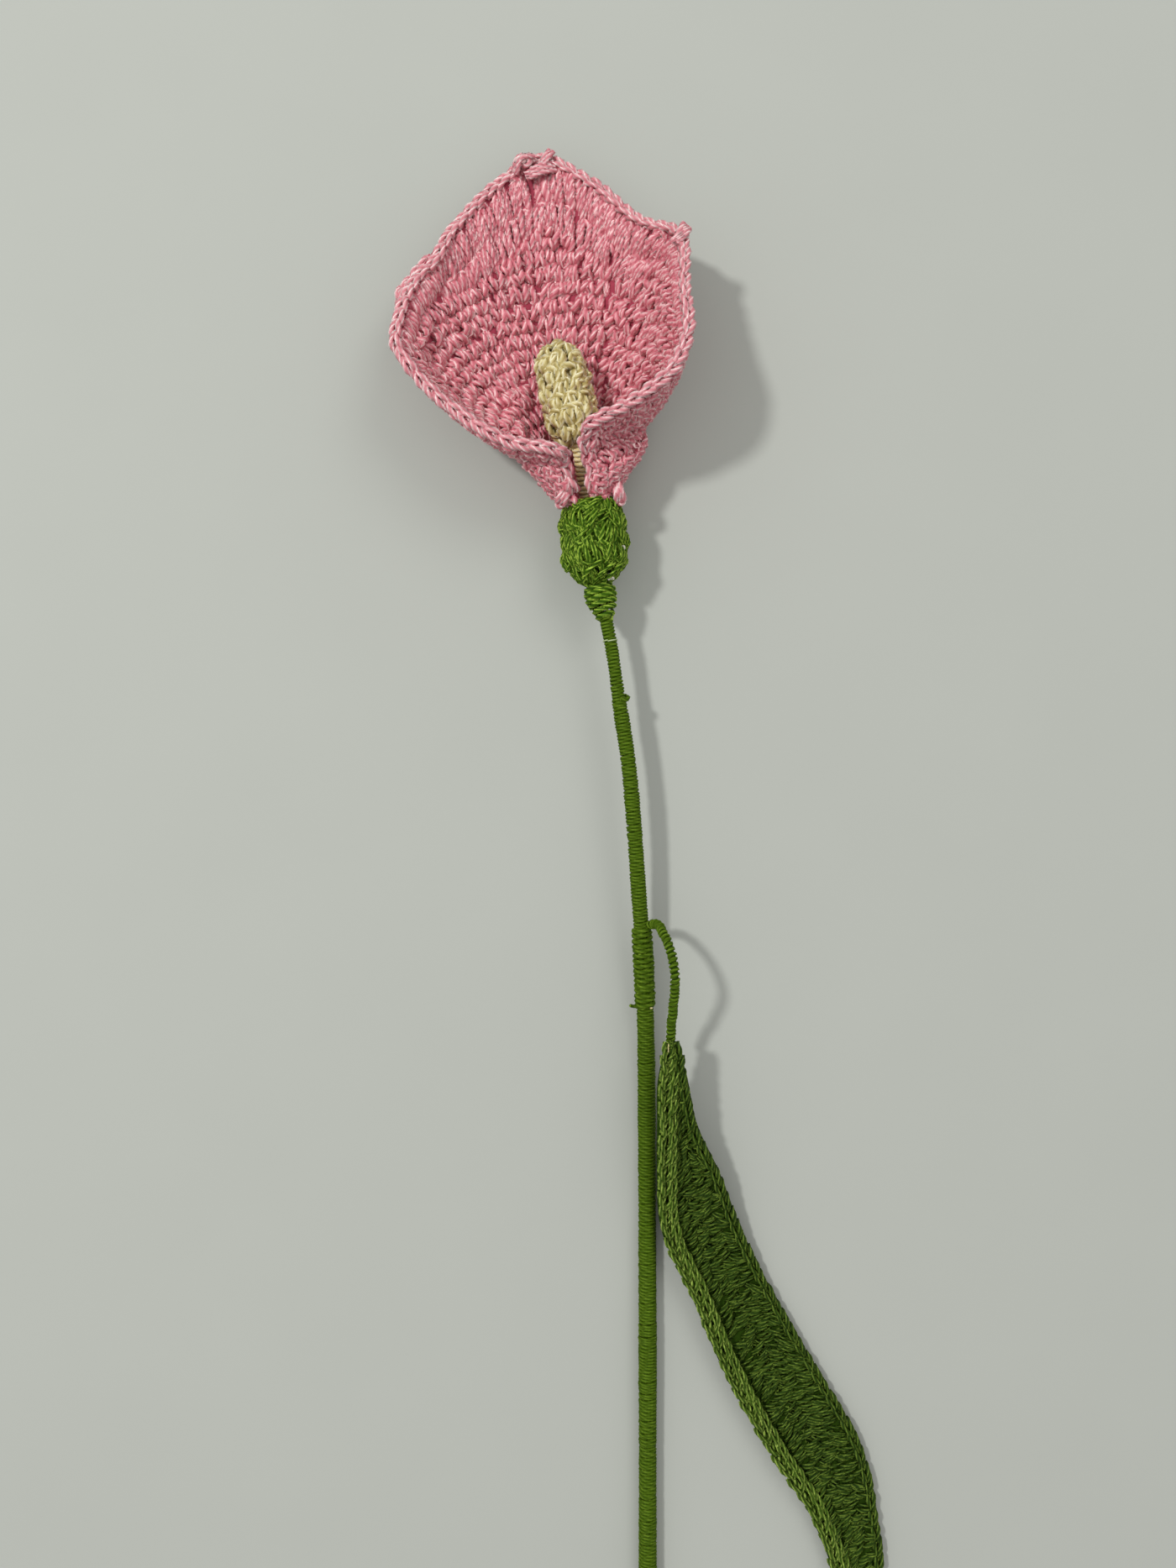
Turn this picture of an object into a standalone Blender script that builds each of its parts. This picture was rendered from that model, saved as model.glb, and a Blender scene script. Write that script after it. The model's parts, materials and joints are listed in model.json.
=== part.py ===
"""A crocheted calla lily on a yarn-wrapped wire stem, lying on a table.

The bloom is a funnel of crochet that flares into a dish, its front slit open over a
cream spadix. A crocheted cup and a thick yarn binding hold it on the stem wire. A thin
wire, bound in halfway down, carries one long crocheted leaf.

Sizes are in millimetres and turn into metres when a mesh is made. X runs across the
flower, Y along it towards the tip of the bloom, and Z up from the table.
"""
import math

import bmesh
import bpy
import numpy as np

MM = 0.001

# Yarn and wire
YARN_GAP = 0.25
WIRE_RADIUS = 0.6
LEAF_WIRE_RADIUS = 0.25
ROUND_SIDES = 8

# The stem, read by its distance from the mouth of the cup
NECK_WRAP_RADIUS = 1.35
MIDDLE_WRAP_RADIUS = 1.6
JOINT_RADIUS = 2.2
LOWER_WRAP_RADIUS = 2.0
TOP_WRAP_LENGTH = 16.0
MIDDLE_WRAP_LENGTH = 46.0
JOINT_LENGTH = 17.0
LOWER_WRAP_LENGTH = 158.0
WIRE_PAST_WRAP = 1.5
WRAP_STATION = 9.0
BLOOM_STATION = 1.2
WRAP_RIPPLE = 0.06

# The cup under the bloom, and the binding on its tail
CUP_DROP = 1.3
CUP_LENGTH = 18.5
CUP_RADIUS = 6.9
CUP_MOUTH_RADIUS = 6.4
CUP_WALL = 1.1
CUP_TAIL_RADIUS = 2.0
CUP_TAIL_LENGTH = 6.0
CUP_STITCHES = 11
CUP_ROUNDS = 6
CUP_RELIEF = 0.35
BINDING_RADIUS = 3.5
BINDING_END_RADIUS = 2.7
BINDING_LENGTH = 6.6
BINDING_TURNS = 6
BINDING_RELIEF = 0.3
STUFFING_LENGTH = 7.5
STUFFING_SEAT = 1.0

# The spathe: rings of the funnel, then the rim of the dish
SPATHE_THICKNESS = 2.0
SPATHE_ROUNDS = 17
SPATHE_COLUMNS = 42
SPATHE_RELIEF = 0.5
RIM_BEAD = 0.35
SLIT_HALF_ANGLE = 0.12
TAIL_DEPTH = 5.0
LIP_RADIUS = 6.9
LIP_REACH = 2.8
LIP_SHIFT = -0.6
THROAT_CENTRE = (-2.9, 13.2, 8.9)
THROAT_HALF_WIDTH = 13.4
THROAT_HALF_LENGTH = 8.6
THROAT_HALF_HEIGHT = 7.85
DISH_REACH = 0.62
DISH_SAG = 0.05
DISH_BULGE = 0.1
RIM_OUTLINE = (
    (-3.7, 6.1, 19.0), (-8.6, 7.3, 22.0), (-16.1, 8.5, 22.0), (-24.4, 13.1, 21.0),
    (-32.9, 20.4, 20.0), (-38.9, 28.7, 19.0), (-38.5, 35.3, 17.0), (-34.8, 46.3, 12.0),
    (-27.4, 57.8, 8.0), (-18.8, 67.1, 6.0), (-10.5, 71.9, 6.0), (-0.3, 67.2, 7.0),
    (10.1, 57.8, 10.0), (18.6, 51.4, 17.0), (19.0, 39.0, 23.0), (19.4, 29.3, 27.0),
    (15.9, 20.8, 28.0), (9.8, 16.0, 27.0), (3.3, 13.1, 25.0), (-0.6, 10.3, 22.0),
    (-1.6, 6.3, 18.0),
)

# The spadix and its wrapped stalk
SPADIX_START = 11.5
SPADIX_LENGTH = 20.5
SPADIX_RADIUS = 5.0
SPADIX_FLATNESS = 0.82
SPADIX_CAP = 5.0
SPADIX_ROUNDS = 7
SPADIX_STITCHES = 8
SPADIX_RELIEF = 0.4
STALK_WRAP_RADIUS = 1.25
STALK_WRAP_TAIL = 3.0

# The leaf, its wire and its wrapped stalk
LEAF_STALK_RADIUS = 1.0
LEAF_THICKNESS = 2.0
LEAF_ROWS = 40
LEAF_RELIEF = 0.35
LEAF_EDGE_BEAD = 0.3
LEAF_ACROSS = 7
LEAF_CHANNEL = 1.6
LEAF_SEAT = (0.0, -1.6, 1.2)
LEAF_WIRE_IN_LEAF = 12.0
LEAF_WIRE_IN_JOINT = 13.0
LEAF_WIRE_ROOM = 1.8

# Small ends of yarn left on the wrap
YARN_KNOT_RADIUS = 0.9
YARN_END_RADIUS = 0.45
YARN_END_LENGTH = 2.2

# Hand-chosen points of each line, from the mouth of the cup and the table top
BLOOM_HEIGHT = 9.2
SPADIX_LINE = (
    (-7.4, 34.0, 9.0), (-6.0, 26.5, 10.0), (-4.4, 19.7, 11.0), (-3.0, 13.5, 11.7),
    (-1.8, 8.2, 11.2), (-0.9, 4.0, 10.0),
)
NECK_LINE = (
    (0.0, 0.0, BLOOM_HEIGHT), (0.9, -8.9, BLOOM_HEIGHT), (1.6, -16.8, BLOOM_HEIGHT),
    (3.2, -24.0, BLOOM_HEIGHT), (4.6, -31.0, 9.1), (6.1, -41.6, 9.0), (8.0, -54.0, 8.9),
    (9.3, -68.1, 8.6), (10.3, -82.0, 7.4), (11.3, -95.0, 5.7), (11.8, -107.3, 4.1),
    (12.1, -119.0, 2.7),
)
TABLE_LINE = ((12.2, -133.0), (12.3, -154.0), (12.4, -180.0), (12.4, -211.0), (12.4, -226.0))
LEAF_STALK_STEPS = (
    (1.7, 0.9, 2.6), (3.4, -1.2, 7.0), (4.6, -4.4, 9.2), (5.2, -8.4, 10.6),
    (5.1, -14.5, 8.4), (4.8, -21.5, 4.4),
)
LEAF_LEFT_EDGE = (
    (-0.7, 0.0, 0.3), (-2.3, -7.2, -0.7), (-2.5, -17.7, -2.0), (-2.5, -27.7, -3.5),
    (-1.7, -39.7, -6.0), (4.7, -54.6, -8.1), (12.5, -72.7, -9.2), (20.6, -87.2, -9.8),
    (29.9, -101.7, -10.4), (37.0, -118.9, -10.9), (42.0, -130.4, -11.4),
)
LEAF_RIGHT_EDGE = (
    (0.8, 0.0, 0.3), (2.9, -6.2, -1.4), (5.6, -18.3, -4.0), (10.4, -28.6, -6.5),
    (15.1, -40.9, -9.4), (22.4, -55.7, -11.2), (32.9, -73.8, -11.8), (41.1, -88.2, -11.8),
    (44.4, -102.3, -11.6), (45.4, -119.0, -11.6), (43.2, -130.8, -11.6),
)

TABLE_UP = np.array((0.0, 0.0, 1.0))

COLOURS = {
    "pink_cotton": ((0.66, 0.21, 0.27), 0.6, 0.0),
    "cream_cotton": ((0.68, 0.51, 0.27), 0.65, 0.0),
    "green_cotton": ((0.09, 0.15, 0.017), 0.65, 0.0),
    "leaf_cotton": ((0.072, 0.125, 0.028), 0.7, 0.0),
    "white_stuffing": ((0.72, 0.7, 0.6), 0.9, 0.0),
    "steel_wire": ((0.45, 0.45, 0.44), 0.35, 1.0),
    "brass_wire": ((0.6, 0.42, 0.16), 0.3, 1.0),
}


def hermite(knots, values, places):
    """Read a smooth line through the values, which lie at the knots, at the places."""
    knots = np.asarray(knots, float)
    values = np.asarray(values, float)
    places = np.asarray(places, float)
    spare = (1,) * (values.ndim - 1)
    steps = np.diff(knots)
    slopes = np.diff(values, axis=0) / steps.reshape(-1, *spare)
    share = (steps[1:] / (steps[1:] + steps[:-1])).reshape(-1, *spare)
    tangents = np.concatenate((
        slopes[:1],
        share * slopes[:-1] + (1 - share) * slopes[1:],
        slopes[-1:],
    ))
    span = np.clip(np.searchsorted(knots, places, side="right") - 1, 0, len(steps) - 1)
    width = steps[span].reshape(-1, *spare)
    t = ((places - knots[span]) / steps[span]).reshape(-1, *spare)
    return (
        (2 * t**3 - 3 * t**2 + 1) * values[span]
        + (t**3 - 2 * t**2 + t) * width * tangents[span]
        + (3 * t**2 - 2 * t**3) * values[span + 1]
        + (t**3 - t**2) * width * tangents[span + 1]
    )


def lengths_along(points):
    """The distance from the first point to each point, along the line they make."""
    steps = np.linalg.norm(np.diff(points, axis=0), axis=1)
    return np.concatenate(((0.0,), np.cumsum(steps)))


def unit(vectors):
    """The same directions, one long."""
    return vectors / np.linalg.norm(vectors, axis=-1, keepdims=True)


class Route:
    """A smooth line through hand-chosen points, read by the distance along it."""

    def __init__(self, points, zero_index=0):
        points = np.array(points, float)
        knots = lengths_along(points)
        fine_places = np.linspace(0.0, knots[-1], 40 * len(points))
        self.fine = hermite(knots, points, fine_places)
        self.distances = lengths_along(self.fine)
        self.zero = np.interp(knots[zero_index], fine_places, self.distances)
        self.end = self.distances[-1] - self.zero

    def at(self, distance):
        """Points at these distances, running straight on past either end."""
        place = np.atleast_1d(np.asarray(distance, float)) + self.zero
        inside = np.clip(place, 0.0, self.distances[-1])
        points = np.stack([np.interp(inside, self.distances, axis) for axis in self.fine.T], axis=-1)
        past = np.maximum(place - self.distances[-1], 0.0)[:, None]
        before = np.minimum(place, 0.0)[:, None]
        out = unit(self.fine[-1] - self.fine[-4])
        back = unit(self.fine[3] - self.fine[0])
        return points + past * out + before * back

    def frames(self, distance):
        """Points, and at each one the direction sideways and the direction up."""
        reach = 0.4
        centre = self.at(distance)
        ahead = unit(self.at(np.asarray(distance) + reach) - self.at(np.asarray(distance) - reach))
        sideways = unit(np.cross(TABLE_UP, ahead))
        upward = np.cross(ahead, sideways)
        return centre, sideways, upward


def material(name):
    """A finish of its own for each kind of yarn and wire."""
    if name in bpy.data.materials:
        return bpy.data.materials[name]
    colour, roughness, metallic = COLOURS[name]
    finish = bpy.data.materials.new(name)
    finish.use_nodes = True
    shader = finish.node_tree.nodes["Principled BSDF"]
    shader.inputs["Base Color"].default_value = (*colour, 1.0)
    shader.inputs["Roughness"].default_value = roughness
    shader.inputs["Metallic"].default_value = metallic
    return finish


def make_object(name, bm, finish, flower):
    """Turn a finished bmesh into the named sub-part, parented to the flower."""
    bmesh.ops.recalc_face_normals(bm, faces=bm.faces)
    mesh = bpy.data.meshes.new(name)
    bm.to_mesh(mesh)
    bm.free()
    mesh.materials.append(material(finish))
    mesh.shade_smooth()
    mesh.set_sharp_from_angle(angle=math.radians(50))
    part = bpy.data.objects.new(name, mesh)
    bpy.context.collection.objects.link(part)
    part.parent = flower
    return part


def add_grid(bm, points):
    """Vertices for a grid of points, as rows of columns."""
    return [[bm.verts.new(point * MM) for point in row] for row in points]


def join_rows(bm, first, second, closed):
    """Four-sided faces between two rows of vertices."""
    count = len(first)
    for index in range(count if closed else count - 1):
        after = (index + 1) % count
        bm.faces.new((first[index], first[after], second[after], second[index]))


def sleeve(name, route, stations, radii, bore, finish, flower, sides=ROUND_SIDES, flat=1.0, relief=None):
    """A round piece along a route, with a bore through it when bore is more than 0.

    relief holds what each side of each ring stands proud, and flat squashes the outside.
    """
    centre, sideways, upward = route.frames(stations)
    angles = np.arange(sides) * math.tau / sides
    across = np.cos(angles)[None, :, None] * sideways[:, None, :]
    above = np.sin(angles)[None, :, None] * upward[:, None, :]
    radii = np.asarray(radii, float)[:, None] + np.zeros(sides)
    if relief is not None:
        radii = radii + relief
    bm = bmesh.new()
    outside = add_grid(bm, centre[:, None, :] + radii[:, :, None] * (across + above * flat))
    for first, second in zip(outside, outside[1:]):
        join_rows(bm, first, second, True)
    if bore > 0:
        inside = add_grid(bm, centre[:, None, :] + bore * (across + above))
        for first, second in zip(inside, inside[1:]):
            join_rows(bm, first, second, True)
        join_rows(bm, outside[0], inside[0], True)
        join_rows(bm, outside[-1], inside[-1], True)
    else:
        bm.faces.new(outside[0])
        bm.faces.new(outside[-1])
    return make_object(name, bm, finish, flower)


def shell(name, middle, above, below, finish, flower):
    """A sheet with a thickness on each side of its middle, its underside flat on the table."""
    along_rows = np.gradient(middle, axis=0)
    along_columns = np.gradient(middle, axis=1)
    normals = unit(np.cross(along_rows, along_columns))
    face = middle + normals * above[:, :, None]
    back = middle - normals * below[:, :, None]
    back[:, :, 2] = np.maximum(back[:, :, 2], 0.0)
    bm = bmesh.new()
    top = add_grid(bm, face)
    bottom = add_grid(bm, back)
    for grid in (top, bottom):
        for first, second in zip(grid, grid[1:]):
            join_rows(bm, first, second, False)
    join_rows(bm, top[0], bottom[0], False)
    join_rows(bm, top[-1], bottom[-1], False)
    join_rows(bm, [row[0] for row in top], [row[0] for row in bottom], False)
    join_rows(bm, [row[-1] for row in top], [row[-1] for row in bottom], False)
    return make_object(name, bm, finish, flower)


def stem_route():
    """From the tip of the spadix, through the cup, and down the stem along the table."""
    lying = tuple((x, y, LOWER_WRAP_RADIUS) for x, y in TABLE_LINE)
    return Route(SPADIX_LINE + NECK_LINE + lying, zero_index=len(SPADIX_LINE))


class StemPlaces:
    """Where each wrap starts and ends along the stem."""

    def __init__(self):
        self.cup_tail_end = CUP_LENGTH + CUP_TAIL_LENGTH
        self.top_wrap = self.cup_tail_end + YARN_GAP + 1.2
        self.middle_wrap = self.top_wrap + TOP_WRAP_LENGTH + YARN_GAP
        self.joint = self.middle_wrap + MIDDLE_WRAP_LENGTH + LEAF_WIRE_ROOM
        self.lower_wrap = self.joint + JOINT_LENGTH + YARN_GAP
        self.lower_wrap_end = self.lower_wrap + LOWER_WRAP_LENGTH
        self.wire_end = self.lower_wrap_end + WIRE_PAST_WRAP


def even_stations(start, end, spacing):
    """Distances from start to end, no further apart than the spacing."""
    count = max(2, int(math.ceil((end - start) / spacing)) + 1)
    return np.linspace(start, end, count)


def make_stem_wire(stem, places, flower):
    """One straight wire from inside the spadix to just past the lower wrap."""
    inside_spadix = SPADIX_START + SPADIX_LENGTH * 0.6
    bloom = even_stations(-inside_spadix, 0.0, BLOOM_STATION)
    rest = even_stations(0.0, places.wire_end, WRAP_STATION)[1:]
    stations = np.concatenate((bloom, rest))
    sleeve("stem_wire", stem, stations, np.full(len(stations), WIRE_RADIUS), 0.0, "steel_wire", flower)


def make_stem_wraps(stem, places, flower):
    """Yarn wound round the wire, in one length for each stretch of the stem."""
    bore = WIRE_RADIUS + YARN_GAP
    stretches = (
        ("stem_wrap_top", places.top_wrap, TOP_WRAP_LENGTH, NECK_WRAP_RADIUS),
        ("stem_wrap_middle", places.middle_wrap, MIDDLE_WRAP_LENGTH, MIDDLE_WRAP_RADIUS),
        ("stem_wrap_lower", places.lower_wrap, LOWER_WRAP_LENGTH, LOWER_WRAP_RADIUS),
    )
    for name, start, length, radius in stretches:
        stations = even_stations(start, start + length, WRAP_STATION)
        ripple = radius - WRAP_RIPPLE * (np.arange(len(stations)) % 2)
        sleeve(name, stem, stations, ripple, bore, "green_cotton", flower)


def leaf_wire_offset():
    """How far the leaf's wire runs beside the stem wire."""
    return WIRE_RADIUS + YARN_GAP + LEAF_WIRE_RADIUS


def make_leaf_joint(stem, places, flower):
    """The thicker binding that takes in the leaf's wire beside the stem wire."""
    bore = leaf_wire_offset() + LEAF_WIRE_RADIUS + YARN_GAP
    turns = 9
    stations = np.linspace(places.joint, places.joint + JOINT_LENGTH, 2 * turns + 1)
    radii = JOINT_RADIUS - 0.2 * (np.arange(len(stations)) % 2)
    sleeve("leaf_joint_binding", stem, stations, radii, bore, "green_cotton", flower)


def make_binding(stem, flower):
    """Thick turns of yarn round the tail of the cup."""
    start = CUP_LENGTH - 0.4
    stations = np.linspace(start, start + BINDING_LENGTH, 2 * BINDING_TURNS + 1)
    taper = np.linspace(BINDING_RADIUS, BINDING_END_RADIUS, len(stations))
    radii = taper - BINDING_RELIEF * (np.arange(len(stations)) % 2 == 0)
    bore = CUP_TAIL_RADIUS + YARN_GAP
    sleeve("neck_binding", stem, stations, radii, bore, "green_cotton", flower, sides=12)


def make_cup(stem, flower):
    """The crocheted cup: bulging rounds that close to a narrow tail on the wire."""
    shape_places = (0.0, 0.12, 0.5, 0.75, 0.9, 1.0)
    shape_radii = (CUP_MOUTH_RADIUS, 0.985 * CUP_RADIUS, CUP_RADIUS, 0.93 * CUP_RADIUS, 0.66 * CUP_RADIUS,
                   CUP_TAIL_RADIUS + 0.1)
    body_end = CUP_LENGTH - 0.9
    body = np.linspace(CUP_DROP, body_end, 2 * CUP_ROUNDS + 1)
    profile = hermite(shape_places, shape_radii, (body - CUP_DROP) / (body_end - CUP_DROP))
    tail = np.array((CUP_LENGTH + CUP_TAIL_LENGTH * 0.5, CUP_LENGTH + CUP_TAIL_LENGTH))
    stations = np.concatenate((body, tail))
    outer = np.concatenate((profile, (CUP_TAIL_RADIUS, CUP_TAIL_RADIUS)))
    sides = 2 * CUP_STITCHES
    rows = np.arange(len(stations))[:, None]
    columns = np.arange(sides)[None, :]
    lumps = np.where((columns + rows // 2 * 1) % 2 == 0, CUP_RELIEF, -CUP_RELIEF * 0.4)
    lumps = lumps * (rows % 2) * (rows < len(body) - 2)
    inner = np.maximum(profile - CUP_WALL - CUP_RELIEF * 0.4, WIRE_RADIUS + YARN_GAP)
    inner = np.concatenate((inner, np.full(2, WIRE_RADIUS + YARN_GAP)))
    cup_solid(stem, stations, outer[:, None] + lumps, inner, sides, flower)


def cup_solid(stem, stations, outer, inner, sides, flower):
    """The cup's outside and inside rings, joined at the mouth and at the tail."""
    centre, sideways, upward = stem.frames(stations)
    angles = np.arange(sides) * math.tau / sides
    round_way = np.cos(angles)[None, :, None] * sideways[:, None, :]
    round_way = round_way + np.sin(angles)[None, :, None] * upward[:, None, :]
    bm = bmesh.new()
    outside = add_grid(bm, centre[:, None, :] + outer[:, :, None] * round_way)
    inside = add_grid(bm, centre[:, None, :] + inner[:, None, None] * round_way)
    for grid in (outside, inside):
        for first, second in zip(grid, grid[1:]):
            join_rows(bm, first, second, True)
    join_rows(bm, outside[0], inside[0], True)
    join_rows(bm, outside[-1], inside[-1], True)
    make_object("calyx_cup", bm, "green_cotton", flower)


def make_stuffing(stem, flower):
    """The pale filling that holds the cup round, below the tail of the funnel."""
    start = TAIL_DEPTH + YARN_GAP + STUFFING_SEAT
    room = CUP_RADIUS * 0.93 - CUP_WALL - CUP_RELIEF * 0.4 - YARN_GAP
    stations = np.linspace(start, start + STUFFING_LENGTH, 6)
    swell = np.array((0.8, 0.97, 1.0, 1.0, 0.93, 0.8))
    sleeve("calyx_stuffing", stem, stations, room * swell, WIRE_RADIUS + YARN_GAP, "white_stuffing", flower)


def cup_mouth_bore():
    """The room inside the mouth of the cup for the tail of the funnel."""
    return CUP_MOUTH_RADIUS - CUP_WALL - CUP_RELIEF * 0.4


def rim_angles(outline):
    """The angle of each rim point round the throat, from the slit and past the left side."""
    offset = outline[:, :2] - np.array(THROAT_CENTRE[:2])
    angles = np.arctan2(-offset[:, 0], -offset[:, 1]) % math.tau
    angles[0] = SLIT_HALF_ANGLE
    angles[-1] = math.tau - SLIT_HALF_ANGLE
    return angles


def funnel_rings(stem, angles):
    """The tail, the mouth and the lip of the funnel, as rings round the stem's line."""
    tail_radius = cup_mouth_bore() - YARN_GAP - SPATHE_THICKNESS / 2
    rings = []
    for distance, radius, shift in (
        (TAIL_DEPTH, tail_radius, 0.0),
        (CUP_DROP, tail_radius, 0.0),
        (-0.35 * LIP_REACH, (tail_radius + LIP_RADIUS) / 2, 0.5 * LIP_SHIFT),
        (-LIP_REACH, LIP_RADIUS, LIP_SHIFT),
    ):
        base, sideways, upward = stem.frames(np.array((max(distance, 0.0),)))
        centre = base[0] + np.array((shift, max(-distance, 0.0), 0.0))
        ring = -np.sin(angles)[:, None] * sideways[0] + np.cos(angles)[:, None] * upward[0]
        rings.append(centre + radius * ring)
    return rings


def spathe_meridians(stem, angles):
    """Lines from the tail of the funnel to the rim, one for each angle round the throat."""
    outline = np.array(RIM_OUTLINE)
    rim = hermite(rim_angles(outline), outline, angles)
    centre_x, centre_y, centre_z = THROAT_CENTRE
    throat = np.stack((
        centre_x - THROAT_HALF_WIDTH * np.sin(angles),
        centre_y - THROAT_HALF_LENGTH * np.cos(angles),
        centre_z + THROAT_HALF_HEIGHT * np.cos(angles),
    ), axis=-1)
    rise = rim - throat
    bend = throat + rise * np.array((DISH_REACH, DISH_REACH, DISH_SAG))
    outward = np.stack((-np.sin(angles), -np.cos(angles), np.zeros_like(angles)), axis=-1)
    bend = bend + outward * (DISH_BULGE * np.abs(rise[:, 2:3]))
    lines = funnel_rings(stem, angles) + [throat]
    for t in (0.33, 0.67, 1.0):
        lines.append((1 - t) ** 2 * throat + 2 * t * (1 - t) * bend + t**2 * rim)
    return np.stack(lines, axis=1)


def evenly_along(lines, count):
    """Each line read at the same number of places, evenly spaced along its own length."""
    result = []
    for line in lines:
        knots = lengths_along(line)
        fine = hermite(knots, line, np.linspace(0.0, knots[-1], 160))
        distance = lengths_along(fine)
        places = np.linspace(0.0, distance[-1], count)
        result.append(np.stack([np.interp(places, distance, axis) for axis in fine.T], axis=-1))
    return np.array(result)


def spathe_middle(stem):
    """The middle of the spathe's thickness, as columns of rounds."""
    trial = np.linspace(SLIT_HALF_ANGLE, math.tau - SLIT_HALF_ANGLE, 240)
    halfway = spathe_meridians(stem, trial)[:, -3]
    travel = lengths_along(halfway)
    angles = np.interp(np.linspace(0.0, travel[-1], SPATHE_COLUMNS), travel, trial)
    return evenly_along(spathe_meridians(stem, angles), 2 * SPATHE_ROUNDS + 1)


def make_spathe(stem, flower):
    """The pink funnel and dish, with a ridge for each round and a bead along the rim."""
    middle = spathe_middle(stem)
    columns = np.arange(middle.shape[0])[:, None]
    rounds = np.arange(middle.shape[1])[None, :]
    spacing = np.linalg.norm(middle[:, 1:] - middle[:, :-1], axis=2).mean(axis=1)[:, None]
    height = np.minimum(SPATHE_RELIEF, 0.3 * spacing)
    stitch = 0.65 + 0.35 * np.cos(math.pi * (columns + rounds // 2))
    relief = height * (rounds % 2) * stitch
    relief = relief * (rounds > 6)
    edge = np.zeros_like(relief)
    edge[:, -2] = RIM_BEAD
    edge[:, -1] = -RIM_BEAD
    half = SPATHE_THICKNESS / 2
    shell("spathe", middle, half + relief + edge, half + relief + edge, "pink_cotton", flower)


def make_spadix(stem, flower):
    """The chunky cream spadix on the end of the wire, its bore closed at the tip."""
    base = -SPADIX_START
    stations = np.linspace(base, base - SPADIX_LENGTH, 2 * SPADIX_ROUNDS + 1)
    from_base = np.abs(stations - base)
    from_tip = SPADIX_LENGTH - from_base
    nearest = np.minimum(np.minimum(from_base, from_tip) / SPADIX_CAP, 1.0)
    radii = SPADIX_RADIUS * np.sqrt(1.0 - (1.0 - nearest) ** 2 * 0.82)
    sides = 2 * SPADIX_STITCHES
    rows = np.arange(len(stations))[:, None]
    columns = np.arange(sides)[None, :]
    lumps = SPADIX_RELIEF * np.where((columns + rows // 2) % 2 == 0, 1.0, -0.3) * (rows % 2)
    centre, sideways, upward = stem.frames(stations)
    angles = np.arange(sides) * math.tau / sides
    outward = np.cos(angles)[None, :, None] * sideways[:, None, :]
    upright = np.sin(angles)[None, :, None] * upward[:, None, :]
    outer = (radii[:, None] + lumps)[:, :, None]
    bm = bmesh.new()
    outside = add_grid(bm, centre[:, None, :] + outer * (outward + SPADIX_FLATNESS * upright))
    for first, second in zip(outside, outside[1:]):
        join_rows(bm, first, second, True)
    bm.faces.new(outside[-1])
    bore_end = 0.6 * SPADIX_LENGTH + YARN_GAP
    bore_stations = even_stations(base - bore_end, base, 3.0)[::-1]
    bore_centre, bore_side, bore_up = stem.frames(bore_stations)
    bore = WIRE_RADIUS + YARN_GAP
    around = np.cos(angles)[None, :, None] * bore_side[:, None, :]
    around = around + np.sin(angles)[None, :, None] * bore_up[:, None, :]
    inside = add_grid(bm, bore_centre[:, None, :] + bore * around)
    for first, second in zip(inside, inside[1:]):
        join_rows(bm, first, second, True)
    bm.faces.new(inside[-1])
    join_rows(bm, outside[0], inside[0], True)
    make_object("spadix", bm, "cream_cotton", flower)


def make_spadix_stalk(stem, flower):
    """Cream yarn wound on the wire between the stuffing and the spadix."""
    stations = even_stations(-SPADIX_START + YARN_GAP, STALK_WRAP_TAIL, BLOOM_STATION)
    radii = STALK_WRAP_RADIUS - 0.12 * (np.arange(len(stations)) % 2)
    sleeve("spadix_stalk_wrap", stem, stations, radii, WIRE_RADIUS + YARN_GAP, "cream_cotton", flower)


def leaf_wire_start(stem, places):
    """The spot inside the joint's upper end where the leaf's wire comes out."""
    centre, sideways, upward = stem.frames(np.array((places.joint,)))
    return centre[0] + sideways[0] * leaf_wire_offset()


def leaf_base(stem, places):
    """Where the leaf begins, at the end of its stalk."""
    return leaf_wire_start(stem, places) + np.array(LEAF_STALK_STEPS[-1]) + np.array(LEAF_SEAT)


def leaf_middle(base):
    """The middle of the leaf's thickness, as rows from its base to its tip."""
    left = base + np.array(LEAF_LEFT_EDGE)
    right = base + np.array(LEAF_RIGHT_EDGE)
    knots = lengths_along((left + right) / 2)
    places = np.linspace(0.0, knots[-1], 2 * LEAF_ROWS + 1)
    left = hermite(knots, left, places)[:, None, :]
    right = hermite(knots, right, places)[:, None, :]
    across = np.linspace(0.0, 1.0, LEAF_ACROSS)[None, :, None]
    middle = left + (right - left) * across
    width = np.linalg.norm(right - left, axis=2)
    depth = np.minimum(LEAF_CHANNEL, width * 0.16)
    middle[:, :, 2] -= depth * 4 * across[:, :, 0] * (1 - across[:, :, 0])
    middle[:, :, 2] = np.maximum(middle[:, :, 2], LEAF_THICKNESS / 2)
    return middle


def make_leaf(middle, flower):
    """The leaf: a shallow channel of crochet rows with a braided edge."""
    rows = np.arange(middle.shape[0])[:, None]
    columns = np.arange(middle.shape[1])[None, :]
    inner = (columns > 0) & (columns < middle.shape[1] - 1)
    relief = LEAF_RELIEF * (rows % 2) * inner * np.where((columns + rows // 2) % 2 == 0, 1.0, 0.4)
    bead = np.where(inner, 0.0, LEAF_EDGE_BEAD * (rows % 2))
    taper = np.minimum(np.minimum(rows, len(rows) - 1 - rows) / 3.0, 1.0)
    half = LEAF_THICKNESS / 2 * (0.75 + 0.25 * taper)
    thickness = half + relief + bead
    shell("leaf", middle, thickness, thickness, "leaf_cotton", flower)


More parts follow.
